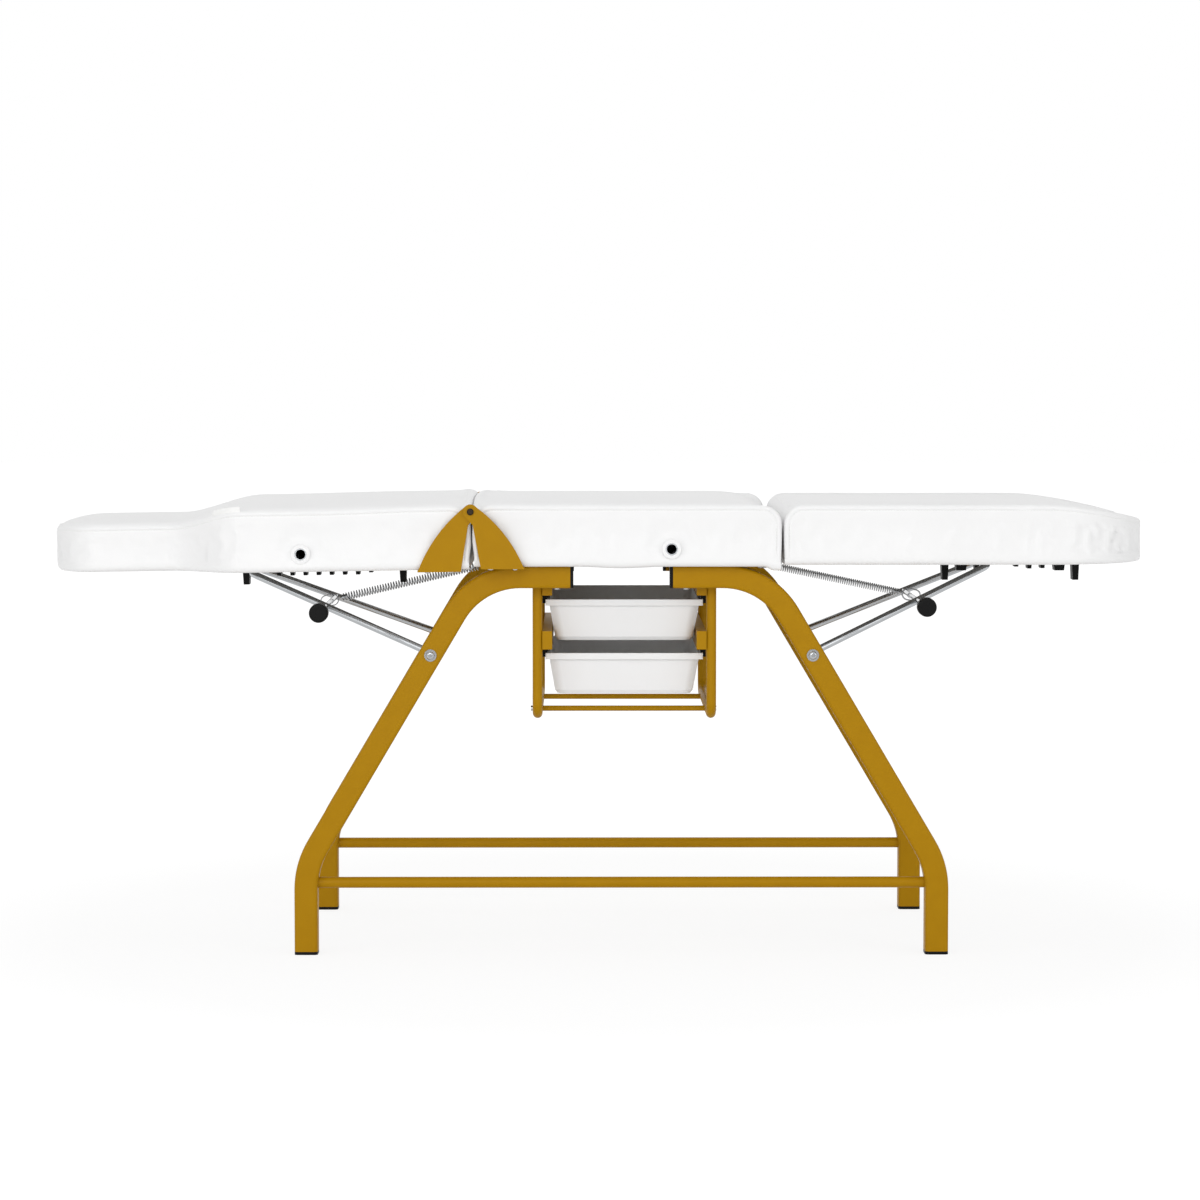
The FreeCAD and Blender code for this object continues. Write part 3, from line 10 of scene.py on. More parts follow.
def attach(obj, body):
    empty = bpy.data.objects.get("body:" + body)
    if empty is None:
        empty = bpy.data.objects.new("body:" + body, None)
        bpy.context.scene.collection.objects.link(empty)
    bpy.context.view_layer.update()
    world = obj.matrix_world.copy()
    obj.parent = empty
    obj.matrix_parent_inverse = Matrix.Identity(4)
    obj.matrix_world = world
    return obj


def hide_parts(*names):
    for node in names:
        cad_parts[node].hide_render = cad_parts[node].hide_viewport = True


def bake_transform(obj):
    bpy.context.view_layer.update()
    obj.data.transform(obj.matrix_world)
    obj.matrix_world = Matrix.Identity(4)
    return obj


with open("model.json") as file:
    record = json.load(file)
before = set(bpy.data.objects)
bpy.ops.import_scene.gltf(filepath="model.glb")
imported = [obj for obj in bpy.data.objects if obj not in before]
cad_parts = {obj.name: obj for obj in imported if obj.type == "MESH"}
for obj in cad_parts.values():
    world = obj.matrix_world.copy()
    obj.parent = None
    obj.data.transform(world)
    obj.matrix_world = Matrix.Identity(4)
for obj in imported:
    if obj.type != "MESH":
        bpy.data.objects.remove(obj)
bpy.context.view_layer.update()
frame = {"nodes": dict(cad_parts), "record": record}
nodes = frame["nodes"]

# Real sizes in metres, the same as those of the solids.
HALF_WIDTH = 0.300
BACK_START, BACK_END = -0.9095, -0.2085
SEAT_START, SEAT_END = -0.1985, 0.2975
LEG_START, LEG_END = 0.3035, 0.9095
BACK_BASE, SEAT_BASE, LEG_BASE = 0.634, 0.638, 0.641
BACK_PIVOT = Vector((-0.2045, 0.0, 0.726))
BACK_DROOP = math.radians(0.9)
BACK_SOCKET, SEAT_SOCKET = (-0.480, 0.6613), (0.1205, 0.6653)
COVER_SKIN = 0.0015


# Materials

def linear(hex_colour):
    """An sRGB hex colour as linear RGBA."""
    channels = [int(hex_colour[i:i + 2], 16) / 255 for i in (1, 3, 5)]
    return tuple(c / 12.92 if c <= 0.04045 else ((c + 0.055) / 1.055) ** 2.4 for c in channels) + (1.0,)


def add(tree, kind, settings=None, **inputs):
    """Adds a node; an input given as a socket is linked, any other value is set. x_1 stands for input number 1."""
    node = tree.nodes.new(kind)
    for name, value in (settings or {}).items():
        setattr(node, name, value)
    for name, value in inputs.items():
        key = int(name[2:]) if name.startswith("x_") else name.replace("_", " ")
        if isinstance(value, bpy.types.NodeSocket):
            tree.links.new(value, node.inputs[key])
        else:
            node.inputs[key].default_value = value
    return node


def start_material(name):
    """An empty material with its tree, and the object's own coordinates in metres."""
    material = bpy.data.materials.new(name)
    material.use_nodes = True
    tree = material.node_tree
    tree.nodes.clear()
    place = add(tree, "ShaderNodeTexCoord").outputs["Object"]
    return material, tree, place


def end_material(tree, shader):
    add(tree, "ShaderNodeOutputMaterial", Surface=shader.outputs[0])


def gold_powder_coat():
    """Powder paint baked on steel: a mustard gold with a soft sheen and a fine orange peel of about 1.5 mm."""
    material, tree, place = start_material("gold_powder_coat")
    mottle = add(tree, "ShaderNodeTexNoise", Vector=place, Scale=1 / 0.030, Detail=3.0)
    colour = add(tree, "ShaderNodeMix", {"data_type": "RGBA"}, x_0=mottle.outputs["Fac"],
                 x_6=linear("#A87A02"), x_7=linear("#B18306")).outputs[2]
    peel = add(tree, "ShaderNodeTexNoise", Vector=place, Scale=1 / 0.0015, Detail=2.0)
    bump = add(tree, "ShaderNodeBump", Strength=0.08, Distance=0.0003, Height=peel.outputs["Fac"])
    gloss = add(tree, "ShaderNodeMapRange", Value=mottle.outputs["Fac"], To_Min=0.38, To_Max=0.48)
    end_material(tree, add(tree, "ShaderNodeBsdfPrincipled", Base_Color=colour, Roughness=gloss.outputs[0],
                           Normal=bump.outputs[0], IOR=1.5, Specular_IOR_Level=0.10))
    return material


def white_vinyl():
    """PVC leathercloth: embossed with a pebble grain of about 1.6 mm, drawn at 2.2 mm so that it shows."""
    material, tree, place = start_material("white_vinyl")
    tint = add(tree, "ShaderNodeTexNoise", Vector=place, Scale=1 / 0.12, Detail=2.0)
    colour = add(tree, "ShaderNodeMix", {"data_type": "RGBA"}, x_0=tint.outputs["Fac"],
                 x_6=linear("#F1F1F1"), x_7=linear("#F6F6F6")).outputs[2]
    pebble = add(tree, "ShaderNodeTexVoronoi", {"feature": "DISTANCE_TO_EDGE"}, Vector=place, Scale=1 / 0.0022)
    crease = add(tree, "ShaderNodeMapRange", Value=pebble.outputs["Distance"], From_Max=0.35)
    bump = add(tree, "ShaderNodeBump", Strength=0.10, Distance=0.0003, Height=crease.outputs[0])
    gloss = add(tree, "ShaderNodeMapRange", Value=tint.outputs["Fac"], To_Min=0.40, To_Max=0.50)
    end_material(tree, add(tree, "ShaderNodeBsdfPrincipled", Base_Color=colour, Roughness=gloss.outputs[0],
                           Normal=bump.outputs[0], IOR=1.5))
    return material


def white_polypropylene():
    """Moulded polypropylene: milky white with a satin skin and a fine tool texture; thin walls let light through."""
    material, tree, place = start_material("white_polypropylene")
    cloud = add(tree, "ShaderNodeTexNoise", Vector=place, Scale=1 / 0.05, Detail=2.0)
    colour = add(tree, "ShaderNodeMix", {"data_type": "RGBA"}, x_0=cloud.outputs["Fac"],
                 x_6=linear("#FAFAFA"), x_7=linear("#FDFDFD")).outputs[2]
    grain = add(tree, "ShaderNodeTexNoise", Vector=place, Scale=1 / 0.0012, Detail=2.0)
    bump = add(tree, "ShaderNodeBump", Strength=0.05, Distance=0.0002, Height=grain.outputs["Fac"])
    skin = add(tree, "ShaderNodeBsdfPrincipled", Base_Color=colour, Roughness=0.34, Normal=bump.outputs[0],
               IOR=1.49)
    through = add(tree, "ShaderNodeBsdfTranslucent", Color=colour)
    end_material(tree, add(tree, "ShaderNodeMixShader", x_0=0.10, x_1=skin.outputs[0], x_2=through.outputs[0]))
    return material


def black_nylon():
    """Moulded nylon: near black, with a matt spark-eroded grain of about 0.8 mm."""
    material, tree, place = start_material("black_nylon")
    grain = add(tree, "ShaderNodeTexNoise", Vector=place, Scale=1 / 0.0008, Detail=3.0)
    colour = add(tree, "ShaderNodeMix", {"data_type": "RGBA"}, x_0=grain.outputs["Fac"],
                 x_6=linear("#080808"), x_7=linear("#0F0F0F")).outputs[2]
    bump = add(tree, "ShaderNodeBump", Strength=0.12, Distance=0.0002, Height=grain.outputs["Fac"])
    end_material(tree, add(tree, "ShaderNodeBsdfPrincipled", Base_Color=colour, Roughness=0.46,
                           Normal=bump.outputs[0], IOR=1.53, Specular_IOR_Level=0.12))
    return material


def chrome_plate():
    """Bright chrome on polished steel: a clear mirror with the faintest haze along the bar."""
    material, tree, place = start_material("chrome_plate")
    haze = add(tree, "ShaderNodeTexNoise", Vector=place, Scale=1 / 0.012, Detail=3.0)
    gloss = add(tree, "ShaderNodeMapRange", Value=haze.outputs["Fac"], To_Min=0.06, To_Max=0.13)
    colour = add(tree, "ShaderNodeMix", {"data_type": "RGBA"}, x_0=haze.outputs["Fac"],
                 x_6=linear("#A9ACAF"), x_7=linear("#BABCBE")).outputs[2]
    end_material(tree, add(tree, "ShaderNodeBsdfPrincipled", Base_Color=colour, Roughness=gloss.outputs[0],
                           Metallic=1.0))
    return material


def zinc_plate():
    """Bright zinc on drawn steel: greyer than chrome, with a soft spangle of about 4 mm."""
    material, tree, place = start_material("zinc_plate")
    spangle = add(tree, "ShaderNodeTexVoronoi", Vector=place, Scale=1 / 0.004)
    gloss = add(tree, "ShaderNodeMapRange", Value=spangle.outputs["Distance"], To_Min=0.22, To_Max=0.36)
    colour = add(tree, "ShaderNodeMix", {"data_type": "RGBA"}, x_0=spangle.outputs["Distance"],
                 x_6=linear("#A5A8AB"), x_7=linear("#B9BBBD")).outputs[2]
    end_material(tree, add(tree, "ShaderNodeBsdfPrincipled", Base_Color=colour, Roughness=gloss.outputs[0],
                           Metallic=1.0))
    return material


def bolt_painted_shade():
    """Zinc-plated steel given a nearly black colour with a brown cast, as painted shade and painted dark reflection:
    cloudy at about 3 mm, with a dull sheen.
    """
    material, tree, place = start_material("bolt_painted_shade")
    cloud = add(tree, "ShaderNodeTexNoise", Vector=place, Scale=1 / 0.003, Detail=2.0)
    colour = add(tree, "ShaderNodeMix", {"data_type": "RGBA"}, x_0=cloud.outputs["Fac"],
                 x_6=linear("#2E2720"), x_7=linear("#3C332A")).outputs[2]
    end_material(tree, add(tree, "ShaderNodeBsdfPrincipled", Base_Color=colour, Roughness=0.38, Metallic=1.0))
    return material


def painted_plywood():
    """Plywood sealed with grey paint: dull, with the veneer's grain of about 3 mm as a faint relief along X."""
    material, tree, place = start_material("painted_plywood")
    stretch = add(tree, "ShaderNodeVectorMath", {"operation": "MULTIPLY"}, x_0=place, x_1=(0.08, 1.0, 1.0))
    grain = add(tree, "ShaderNodeTexNoise", Vector=stretch.outputs[0], Scale=1 / 0.003, Detail=4.0)
    colour = add(tree, "ShaderNodeMix", {"data_type": "RGBA"}, x_0=grain.outputs["Fac"],
                 x_6=linear("#868480"), x_7=linear("#94928E")).outputs[2]
    bump = add(tree, "ShaderNodeBump", Strength=0.15, Distance=0.0003, Height=grain.outputs["Fac"])
    end_material(tree, add(tree, "ShaderNodeBsdfPrincipled", Base_Color=colour, Roughness=0.6,
                           Normal=bump.outputs[0]))
    return material


def sewing_thread():
    """Bonded polyester thread, twisted: white, with the twist of about 1 mm as light bands."""
    material, tree, place = start_material("sewing_thread")
    twist = add(tree, "ShaderNodeTexWave", Vector=place, Scale=1 / 0.006, Distortion=1.0)
    colour = add(tree, "ShaderNodeMix", {"data_type": "RGBA"}, x_0=twist.outputs["Fac"],
                 x_6=linear("#E6E6E4"), x_7=linear("#F2F2F0")).outputs[2]
    end_material(tree, add(tree, "ShaderNodeBsdfPrincipled", Base_Color=colour, Roughness=0.7))
    return material


def satin_ribbon():
    """Woven polyester ribbon: white, with a fine satin rib of about 0.6 mm across it."""
    material, tree, place = start_material("satin_ribbon")
    rib = add(tree, "ShaderNodeTexWave", {"bands_direction": "Z"}, Vector=place, Scale=1 / 0.0038, Distortion=0.3)
    colour = add(tree, "ShaderNodeMix", {"data_type": "RGBA"}, x_0=rib.outputs["Fac"],
                 x_6=linear("#F0F0EE"), x_7=linear("#FAFAF9")).outputs[2]
    bump = add(tree, "ShaderNodeBump", Strength=0.15, Distance=0.0002, Height=rib.outputs["Fac"])
    end_material(tree, add(tree, "ShaderNodeBsdfPrincipled", Base_Color=colour, Roughness=0.42,
                           Normal=bump.outputs[0], Sheen_Weight=0.15))
    return material


GOLD = gold_powder_coat()
VINYL = white_vinyl()
WHITE = white_polypropylene()
BLACK = black_nylon()
CHROME = chrome_plate()
ZINC = zinc_plate()
BOLT_PAINTED_SHADE = bolt_painted_shade()
PLY = painted_plywood()
THREAD = sewing_thread()
RIBBON = satin_ribbon()

SLOT_FINISH = {"gold_paint": GOLD, "white_vinyl": VINYL, "white_plastic": WHITE, "black_plastic": BLACK,
               "chrome": CHROME, "zinc_steel": ZINC, "plywood": PLY, "foam": VINYL}
for part in frame["record"]["subparts"]:
    solid = nodes[part["node"]]
    solid.data.materials.clear()
    solid.data.materials.append(SLOT_FINISH[part["material_slot"]])
# The zinc hinge bolts get the near-black material in place of zinc: painted shade and painted dark reflection on
# their heads.
nodes["back_hinge_bolts"].data.materials[0] = BOLT_PAINTED_SHADE


# Pads: each is a skin of closed rings along X, with a sewn roll round its side panels and a crowned top

PAD_EDGE = 0.098
HEAD_EDGE = 0.074
LEG_EDGE = 0.095
HEAD_HALF = 0.2
HEAD_LENGTH, SHOULDER_LENGTH = 0.205, 0.125
HEAD_CORNER, HEAD_BLUNT = 0.085, 0.985
HEAD_NOSE = 0.024
HEAD_CROWN, BACK_CROWN_GAIN, HINGE_CROWN_GAIN = 0.0145, 0.0030, 0.0014
HEAD_PILLOW = 0.07
MIDDLE_STEP_LEAD, MIDDLE_STEP_LENGTH = 0.005, 0.135
BACK_EDGE_RISE = 0.003
SEAT_CROWN = 0.0125
SEAT_SAG, SAG_START, SAG_LENGTH = 0.0025, -0.036, 0.152
SEAT_FOOT_DRAW, SEAT_FOOT_ROUND = 0.7, 0.1
LEG_TIP, LEG_BLUNT, LEG_POWER = 0.215, 0.992, 2.8
LEG_FALL, LEG_FALL_START = 0.030, 0.735
LEG_NOSE = 0.022
LEG_CROWN = 0.0035
HINGE_DRAW, BACK_HINGE_ROUND, SEAT_HINGE_ROUND = 0.42, 0.020, 0.016
LEG_HINGE_ROUND = 0.03
HINGE_LEAN, FOOT_LEAN = 0.0046, 0.0012
SIDE_HOLD = 0.35
END_ROUND = 0.031
ROLL = 0.008
FOOT = 0.010
BORE_RADIUS = 0.0102
BORE_DEPTH = 0.066
WIDE_OPENING, NARROW_OPENING = 0.272, 0.172

# Rows of half a ring that are free of seams: a side panel's middle, and the crown from a little inside its crease.
PANEL_ROWS = range(15, 31)
CROWN_ROW = 60
SEAM_REACH = 0.012
SETTLE_LIMIT = 0.003
SETTLE_FRAMES = 20

# A pad's cross section: half width, underside, top of the side panels and of the middle, how far both fall
# towards a rounded end, rise of the crown, distance to the nearest square end, and the middle's fall there.
Form = namedtuple("Form", "half base edge middle fall crown from_end end_fall")


def eased(share):
    share = min(max(share, 0.0), 1.0)
    return share * share * (3 - 2 * share)


def round_over(distance, radius):
    if distance >= radius:
        return 0.0
    return radius - math.sqrt(radius ** 2 - (radius - max(distance, 0.0)) ** 2)


def pillow(distance, reach):
    """How much of the crown has risen at this distance in from a pad's end."""
    share = min(max(distance / reach, 0.0), 1.0)
    return 1 - (1 - share) ** 2.2


def back_form(x):
    along = x - BACK_START
    to_hinge = BACK_END - x
    wide = eased((along - HEAD_LENGTH) / SHOULDER_LENGTH)
    middle_step = eased((along - HEAD_LENGTH + MIDDLE_STEP_LEAD) / MIDDLE_STEP_LENGTH)
    end = max(1 - along / HEAD_CORNER, 0.0) * HEAD_BLUNT
    half = HEAD_HALF * math.sqrt(1 - end ** 2) + (HALF_WIDTH - HEAD_HALF) * wide
    nose = round_over(along, HEAD_NOSE)
    head_top = BACK_BASE + HEAD_EDGE
    edge = head_top + (PAD_EDGE - HEAD_EDGE) * wide + BACK_EDGE_RISE * eased((0.25 - to_hinge) / 0.2)
    middle = head_top + (PAD_EDGE - HEAD_EDGE) * middle_step
    crown = (HEAD_CROWN + BACK_CROWN_GAIN * middle_step) * pillow(along, HEAD_PILLOW)
    crown += HINGE_CROWN_GAIN * eased((0.35 - to_hinge) / 0.2)
    end_fall = HINGE_DRAW * round_over(to_hinge, BACK_HINGE_ROUND)
    return Form(half + 0.001, BACK_BASE + nose / 2, edge, middle, nose, crown, to_hinge, end_fall)


def seat_form(x):
    """The foot end is drawn down by its tight cover; between the tubes the underside sags a little."""
    along = x - SEAT_START
    to_foot = SEAT_END - x
    edge = SEAT_BASE + PAD_EDGE
    sag = SEAT_SAG * math.sin(math.pi * eased((x - SAG_START) / SAG_LENGTH))
    end_fall = HINGE_DRAW * round_over(along, SEAT_HINGE_ROUND)
    end_fall += SEAT_FOOT_DRAW * round_over(to_foot, SEAT_FOOT_ROUND)
    return Form(HALF_WIDTH, SEAT_BASE - sag, edge, edge, 0.0, SEAT_CROWN, min(along, to_foot), end_fall)


def leg_form(x):
    along = x - LEG_START
    share = max(along - (LEG_END - LEG_START - LEG_TIP), 0.0) / LEG_TIP * LEG_BLUNT
    swell = (1 - share ** LEG_POWER) ** (1 / LEG_POWER)
    fall = LEG_FALL * (max(x - LEG_FALL_START, 0.0) / (LEG_END - LEG_FALL_START)) ** 1.5
    nose = round_over(LEG_END - x, LEG_NOSE)
    edge = LEG_BASE + LEG_EDGE
    end_fall = round_over(along, LEG_HINGE_ROUND)
    return Form(HALF_WIDTH * swell, LEG_BASE, edge, edge, fall + nose / 2, LEG_CROWN * swell, along, end_fall)


def seam_depth(from_end, below_edge):
    """Distance in from the rounded outline of a side panel."""
    if from_end < END_ROUND and below_edge < END_ROUND:
        return END_ROUND - math.hypot(END_ROUND - from_end, END_ROUND - below_edge)
    return min(from_end, below_edge)


def roll_push(depth):
    """The sewn roll along a side panel's outline: rounded off at the outline, with a stitched groove inside it."""
    push = -0.0032 * max(0.0, 1 - depth / 0.0040) ** 2
    if depth < ROLL:
        push += 0.0010 * math.sin(math.pi * depth / ROLL)
    return push - 0.0008 * math.exp(-((depth - ROLL) / 0.0012) ** 2)


def panel_y(shape, x, z, dimples):
    """How far out a side panel stands: drawn in at mid height, rolled at its seam, dented round its sockets."""
    foot = shape.base - COVER_SKIN + FOOT
    top = shape.edge - shape.fall
    share = min(max((z - foot) / (top - foot), 0.0), 1.0)
    y = shape.half - 0.0022 * 4 * share * (1 - share) + roll_push(seam_depth(shape.from_end, top - z))
    y += 0.0005 * noise.noise(Vector((x * 14, z * 14, 3.0))) * min(1.0, shape.half * 8)
    for dent in dimples:
        y -= dent(x, z)
    return y


def socket_dent(place):
    """The panel is held in round an armrest socket, deepest above it."""
    def dent(x, z):
        reach = math.hypot(x - place[0], z - place[1])
        return 0.0017 * math.exp(-((reach - 0.026) / 0.013) ** 2) * (1.3 if z > place[1] else 0.5)
    return dent


def seam_pucker(place):
    """A short fold where the seam was gathered."""
    def dent(x, z):
        across, down = (x - place[0]) / 0.011, (z - place[1]) / 0.0045
        return 0.0028 * math.exp(-across ** 2 - down ** 2)
    return dent


def tip_crease(x, z):
    """The seam that closes the cover's lower edge round the foot end."""
    return 0.0012 * eased((x - 0.80) / 0.06) * math.exp(-((z - LEG_BASE - 0.013) / 0.0016) ** 2)


def half_ring(form, x, open_half, dimples):
    """(y, z) points of half a ring, from the middle of the underside round to the middle of the crown."""
    shape = form(x)
    foot = min(FOOT, shape.half / 4)
    under = shape.base - COVER_SKIN
    wall_top = shape.edge - shape.fall - round_over(shape.from_end, END_ROUND)
    inner = min(open_half, shape.half - foot - 0.004) if open_half else (shape.half - foot) * 0.8
    inside = shape.base + 0.008 if open_half else under
    points = [(inner * share, inside) for share in (0.0, 0.35, 0.7, 0.95, 1.0)]
    points += [(inner + 0.001, under), ((inner + shape.half - foot) / 2, under)]
    for step in range(6):
        angle = math.pi / 2 * step / 5
        points.append((shape.half - foot + foot * math.sin(angle), under + foot - foot * math.cos(angle)))
    fine = 0.016
    coarse_rows, fine_rows = 20, 16
    wall_foot = under + foot
    rows = [wall_foot + (wall_top - fine - wall_foot) * (step + 1) / coarse_rows for step in range(coarse_rows)]
    rows += [wall_top - fine + fine * (step + 1) / fine_rows for step in range(fine_rows)]
    points += [(panel_y(shape, x, z, dimples), z) for z in rows]
    brow = points[-1][0] - 0.0006
    points.append((brow - 0.0006, wall_top - 0.0005))
    for step in range(1, 33):
        y = brow * math.cos(math.pi / 2 * step / 32)
        rise = 1 - (y / brow) ** 3.4
        end_fall = round_over(shape.from_end, END_ROUND) * (1 - rise) + shape.end_fall * rise
        crease = 0.0030 * math.exp(-((brow - y - 0.0045) / 0.0030) ** 2)
        z = shape.edge + (shape.middle - shape.edge) * rise - shape.fall - end_fall + shape.crown * rise - crease
        points.append((y, z + 0.0008 * noise.noise(Vector((x * 7, y * 7, 8.0))) * rise))
    return points


def stations(start, end, extra):
    """Places along a pad: close together at its ends and where a list of extra places asks for it."""
    near = [0.045 * (step / 18) ** 1.6 for step in range(19)]
    middle = [start + 0.05 + (end - start - 0.1) * step / 70 for step in range(71)]
    return sorted(set([start + d for d in near] + middle + [end - d for d in near] + extra))


def make_piece(name, points, faces, material):
    mesh = bpy.data.meshes.new(name)
    mesh.from_pydata([tuple(p) for p in points], [], faces)
    mesh.update()
    piece = bpy.data.objects.new(name, mesh)
    bpy.context.scene.collection.objects.link(piece)
    mesh.materials.append(material)
    return piece


def smooth_normals(piece, angle=40.0):
    """Faces turned outward and shaded smooth, apart from edges sharper than the angle."""
    work = bmesh.new()
    work.from_mesh(piece.data)
    bmesh.ops.recalc_face_normals(work, faces=work.faces)
    for face in work.faces:
        face.smooth = True
    for edge in work.edges:
        edge.smooth = edge.calc_face_angle(0.0) < math.radians(angle)
    work.to_mesh(piece.data)
    work.free()


def cut_bore(pad, place):
    """Cuts the two holes of an armrest socket, one in each side panel."""
    for side in (-1, 1):
        work = bmesh.new()
        bmesh.ops.create_cone(work, cap_ends=True, segments=40, radius1=BORE_RADIUS, radius2=BORE_RADIUS,
                              depth=BORE_DEPTH)
        mesh = bpy.data.meshes.new("bore")
        work.to_mesh(mesh)
        work.free()
        cutter = bpy.data.objects.new("bore", mesh)
        cutter.rotation_euler = (math.pi / 2, 0, 0)
        cutter.location = (place.x, side * (HALF_WIDTH + 0.006 - BORE_DEPTH / 2), place.z)
        bpy.context.scene.collection.objects.link(cutter)
        cut = pad.modifiers.new("bore", "BOOLEAN")
        cut.object = cutter
        cut.operation = "DIFFERENCE"
        bpy.context.view_layer.update()
        whole = bpy.data.meshes.new_from_object(pad.evaluated_get(bpy.context.evaluated_depsgraph_get()))
        pad.modifiers.clear()
        old = pad.data
        pad.data = whole
        bpy.data.meshes.remove(old)
        bpy.data.objects.remove(cutter)
        bpy.data.meshes.remove(mesh)


def make_pad(name, form, start, end, extra, opening, dimples, shift):
    """A pad's closed skin; shift moves each finished point to its place."""
    rings = []
    points = []
    loose = []
    for x in stations(start, end, extra):
        half = half_ring(form, x, opening(x), dimples)
        ring = [Vector((x, y, z)) for y, z in half]
        ring += [Vector((x, -y, z)) for y, z in reversed(half[1:-1])]
        rings.append(range(len(points), len(points) + len(ring)))
        if start + SEAM_REACH < x < end - SEAM_REACH:
            free = [i for i in range(len(half)) if i in PANEL_ROWS or i > CROWN_ROW]
            loose += [len(points) + i for i in free]
            loose += [len(points) + 2 * len(half) - 2 - i for i in free if 0 < i < len(half) - 1]
        points += ring
    faces = []
    for one, two in zip(rings, rings[1:]):
        count = len(one)
        for i in range(count):
            j = (i + 1) % count
            faces.append((one[i], two[i], two[j], one[j]))
    for ring in (rings[0], rings[-1]):
        centre = sum((points[i] for i in ring), Vector()) / len(ring)
        inset = range(len(points), len(points) + len(ring))
        points += [points[i] + (centre - points[i]) * 0.12 for i in ring]
        hub = len(points)
        points.append(centre)
        for i in range(len(ring)):
            j = (i + 1) % len(ring)
            faces.append((ring[i], ring[j], inset[j], inset[i]))
            faces.append((inset[i], inset[j], hub))
    pad = make_piece(name, [shift(p) for p in points], faces, VINYL)
    settle(pad, loose)
    return pad


def settle(pad, loose):
    """Cloth under the foam's pressure, held along its seams: panels and crown billow by a few millimetres at most."""
    before = [v.co.copy() for v in pad.data.vertices]
    held = pad.vertex_groups.new(name="held")
    held.add(sorted(set(range(len(before))) - set(loose)), 1.0, "REPLACE")
    cloth = pad.modifiers.new("cloth", "CLOTH")
    cloth.settings.vertex_group_mass = "held"
    cloth.settings.quality = 5
    cloth.settings.mass = 0.35
    cloth.settings.tension_stiffness = 25
    cloth.settings.compression_stiffness = 25
    cloth.settings.bending_stiffness = 4
    cloth.settings.shrink_min = -0.006
    cloth.settings.use_pressure = True
    cloth.settings.uniform_pressure_force = 4
    cloth.settings.effector_weights.gravity = 0
    cloth.collision_settings.use_collision = False
    for frame_number in range(1, SETTLE_FRAMES + 1):
        bpy.context.scene.frame_set(frame_number)
    done = pad.evaluated_get(bpy.context.evaluated_depsgraph_get()).data
    moved = [v.co.copy() for v in done.vertices]
    pad.modifiers.clear()
    pad.vertex_groups.clear()
    bpy.context.scene.frame_set(1)
    widest = 0.0
    for vertex, old, new in zip(pad.data.vertices, before, moved):
        step = new - old
        widest = max(widest, step.length)
        if step.length > SETTLE_LIMIT:
            step = step * (SETTLE_LIMIT / step.length)
        vertex.co = old + step
    pad.data.update()
    print(pad.name, "settled, widest move", round(widest * 1000, 2), "mm")


def lean_out(point, end, out, edge, amount):
    """A square end swells out towards the next pad, as the foam pushes its cover."""
    near = math.exp(-((point.x - end) / 0.022) ** 2)
    high = eased((point.z - edge + 0.086) / 0.03)
    inside = 1 - SIDE_HOLD * min(abs(point.y) / HALF_WIDTH, 1.0) ** 8
    return point + Vector((out * amount * near * high * inside, 0, 0))


def drooped(point):
    """The backrest hangs a little below level, turned about its hinge."""
    x, z = point.x - BACK_PIVOT.x, point.z - BACK_PIVOT.z
    c, s = math.cos(BACK_DROOP), math.sin(BACK_DROOP)
    return Vector((BACK_PIVOT.x + x * c - z * s, point.y, BACK_PIVOT.z + x * s + z * c))


def place_back(point):
    return drooped(lean_out(point, BACK_END, 1, BACK_BASE + PAD_EDGE, HINGE_LEAN))


def place_seat(point):
    """Both ends lean out a little, and the cover hangs in a lobe at the lower foot corners."""
    point = lean_out(point, SEAT_START, -1, SEAT_BASE + PAD_EDGE, HINGE_LEAN)
    point = lean_out(point, SEAT_END, 1, SEAT_BASE + PAD_EDGE, FOOT_LEAN)
    corner = eased((abs(point.y) - 0.255) / 0.03) * eased((point.x - 0.270) / 0.016) * eased((0.668 - point.z) / 0.03)
    return point - Vector((0, 0, 0.006 * corner))


def place_leg(point):
    return lean_out(point, LEG_START, -1, LEG_BASE + LEG_EDGE, FOOT_LEAN)


def back_open(x):
    """Half width of the opening under a pad at x, where the cover leaves its board bare."""
    return NARROW_OPENING if -0.6765 < x < -0.2365 else 0.0


def seat_open(x):
    return WIDE_OPENING if -0.1705 < x < 0.2695 else 0.0


def leg_open(x):
    if not 0.3315 < x < 0.8535:
        return 0.0
    return WIDE_OPENING if x < 0.6945 else NARROW_OPENING


LEG_PUCKER = (0.689, LEG_BASE + LEG_EDGE - 0.004)
back_dents = [socket_dent(BACK_SOCKET)]
seat_dents = [socket_dent(SEAT_SOCKET)]
leg_dents = [seam_pucker(LEG_PUCKER), tip_crease]
shoulder = [BACK_START + HEAD_LENGTH + SHOULDER_LENGTH * step / 24 for step in range(25)]
shoulder += [BACK_START + HEAD_CORNER * (1 - math.cos(math.pi / 2 * step / 20)) for step in range(1, 21)]
tip = [LEG_END - LEG_TIP * (1 - step / 30) for step in range(30)]
back_pad = make_pad("back_pad", back_form, BACK_START, BACK_END, shoulder, back_open, back_dents, place_back)
seat_pad = make_pad("seat_pad", seat_form, SEAT_START, SEAT_END, [], seat_open, seat_dents, place_seat)
leg_pad = make_pad("leg_pad", leg_form, LEG_START, LEG_END, tip, leg_open, leg_dents, place_leg)
cut_bore(back_pad, drooped(Vector((BACK_SOCKET[0], 0, BACK_SOCKET[1]))))
cut_bore(seat_pad, Vector((SEAT_SOCKET[0], 0, SEAT_SOCKET[1])))

for pad, body, hidden in ((back_pad, "backrest", ("back_cover", "back_foam")),
                          (seat_pad, "frame", ("seat_cover", "seat_foam")),
                          (leg_pad, "legrest", ("leg_cover", "leg_foam"))):
    smooth_normals(pad)
    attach(pad, body)
    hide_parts(*hidden)


# Stitches: single threads in the groove below the roll, along the top and down the square ends of each panel

STITCH, STITCH_PITCH = 0.0034, 0.0048


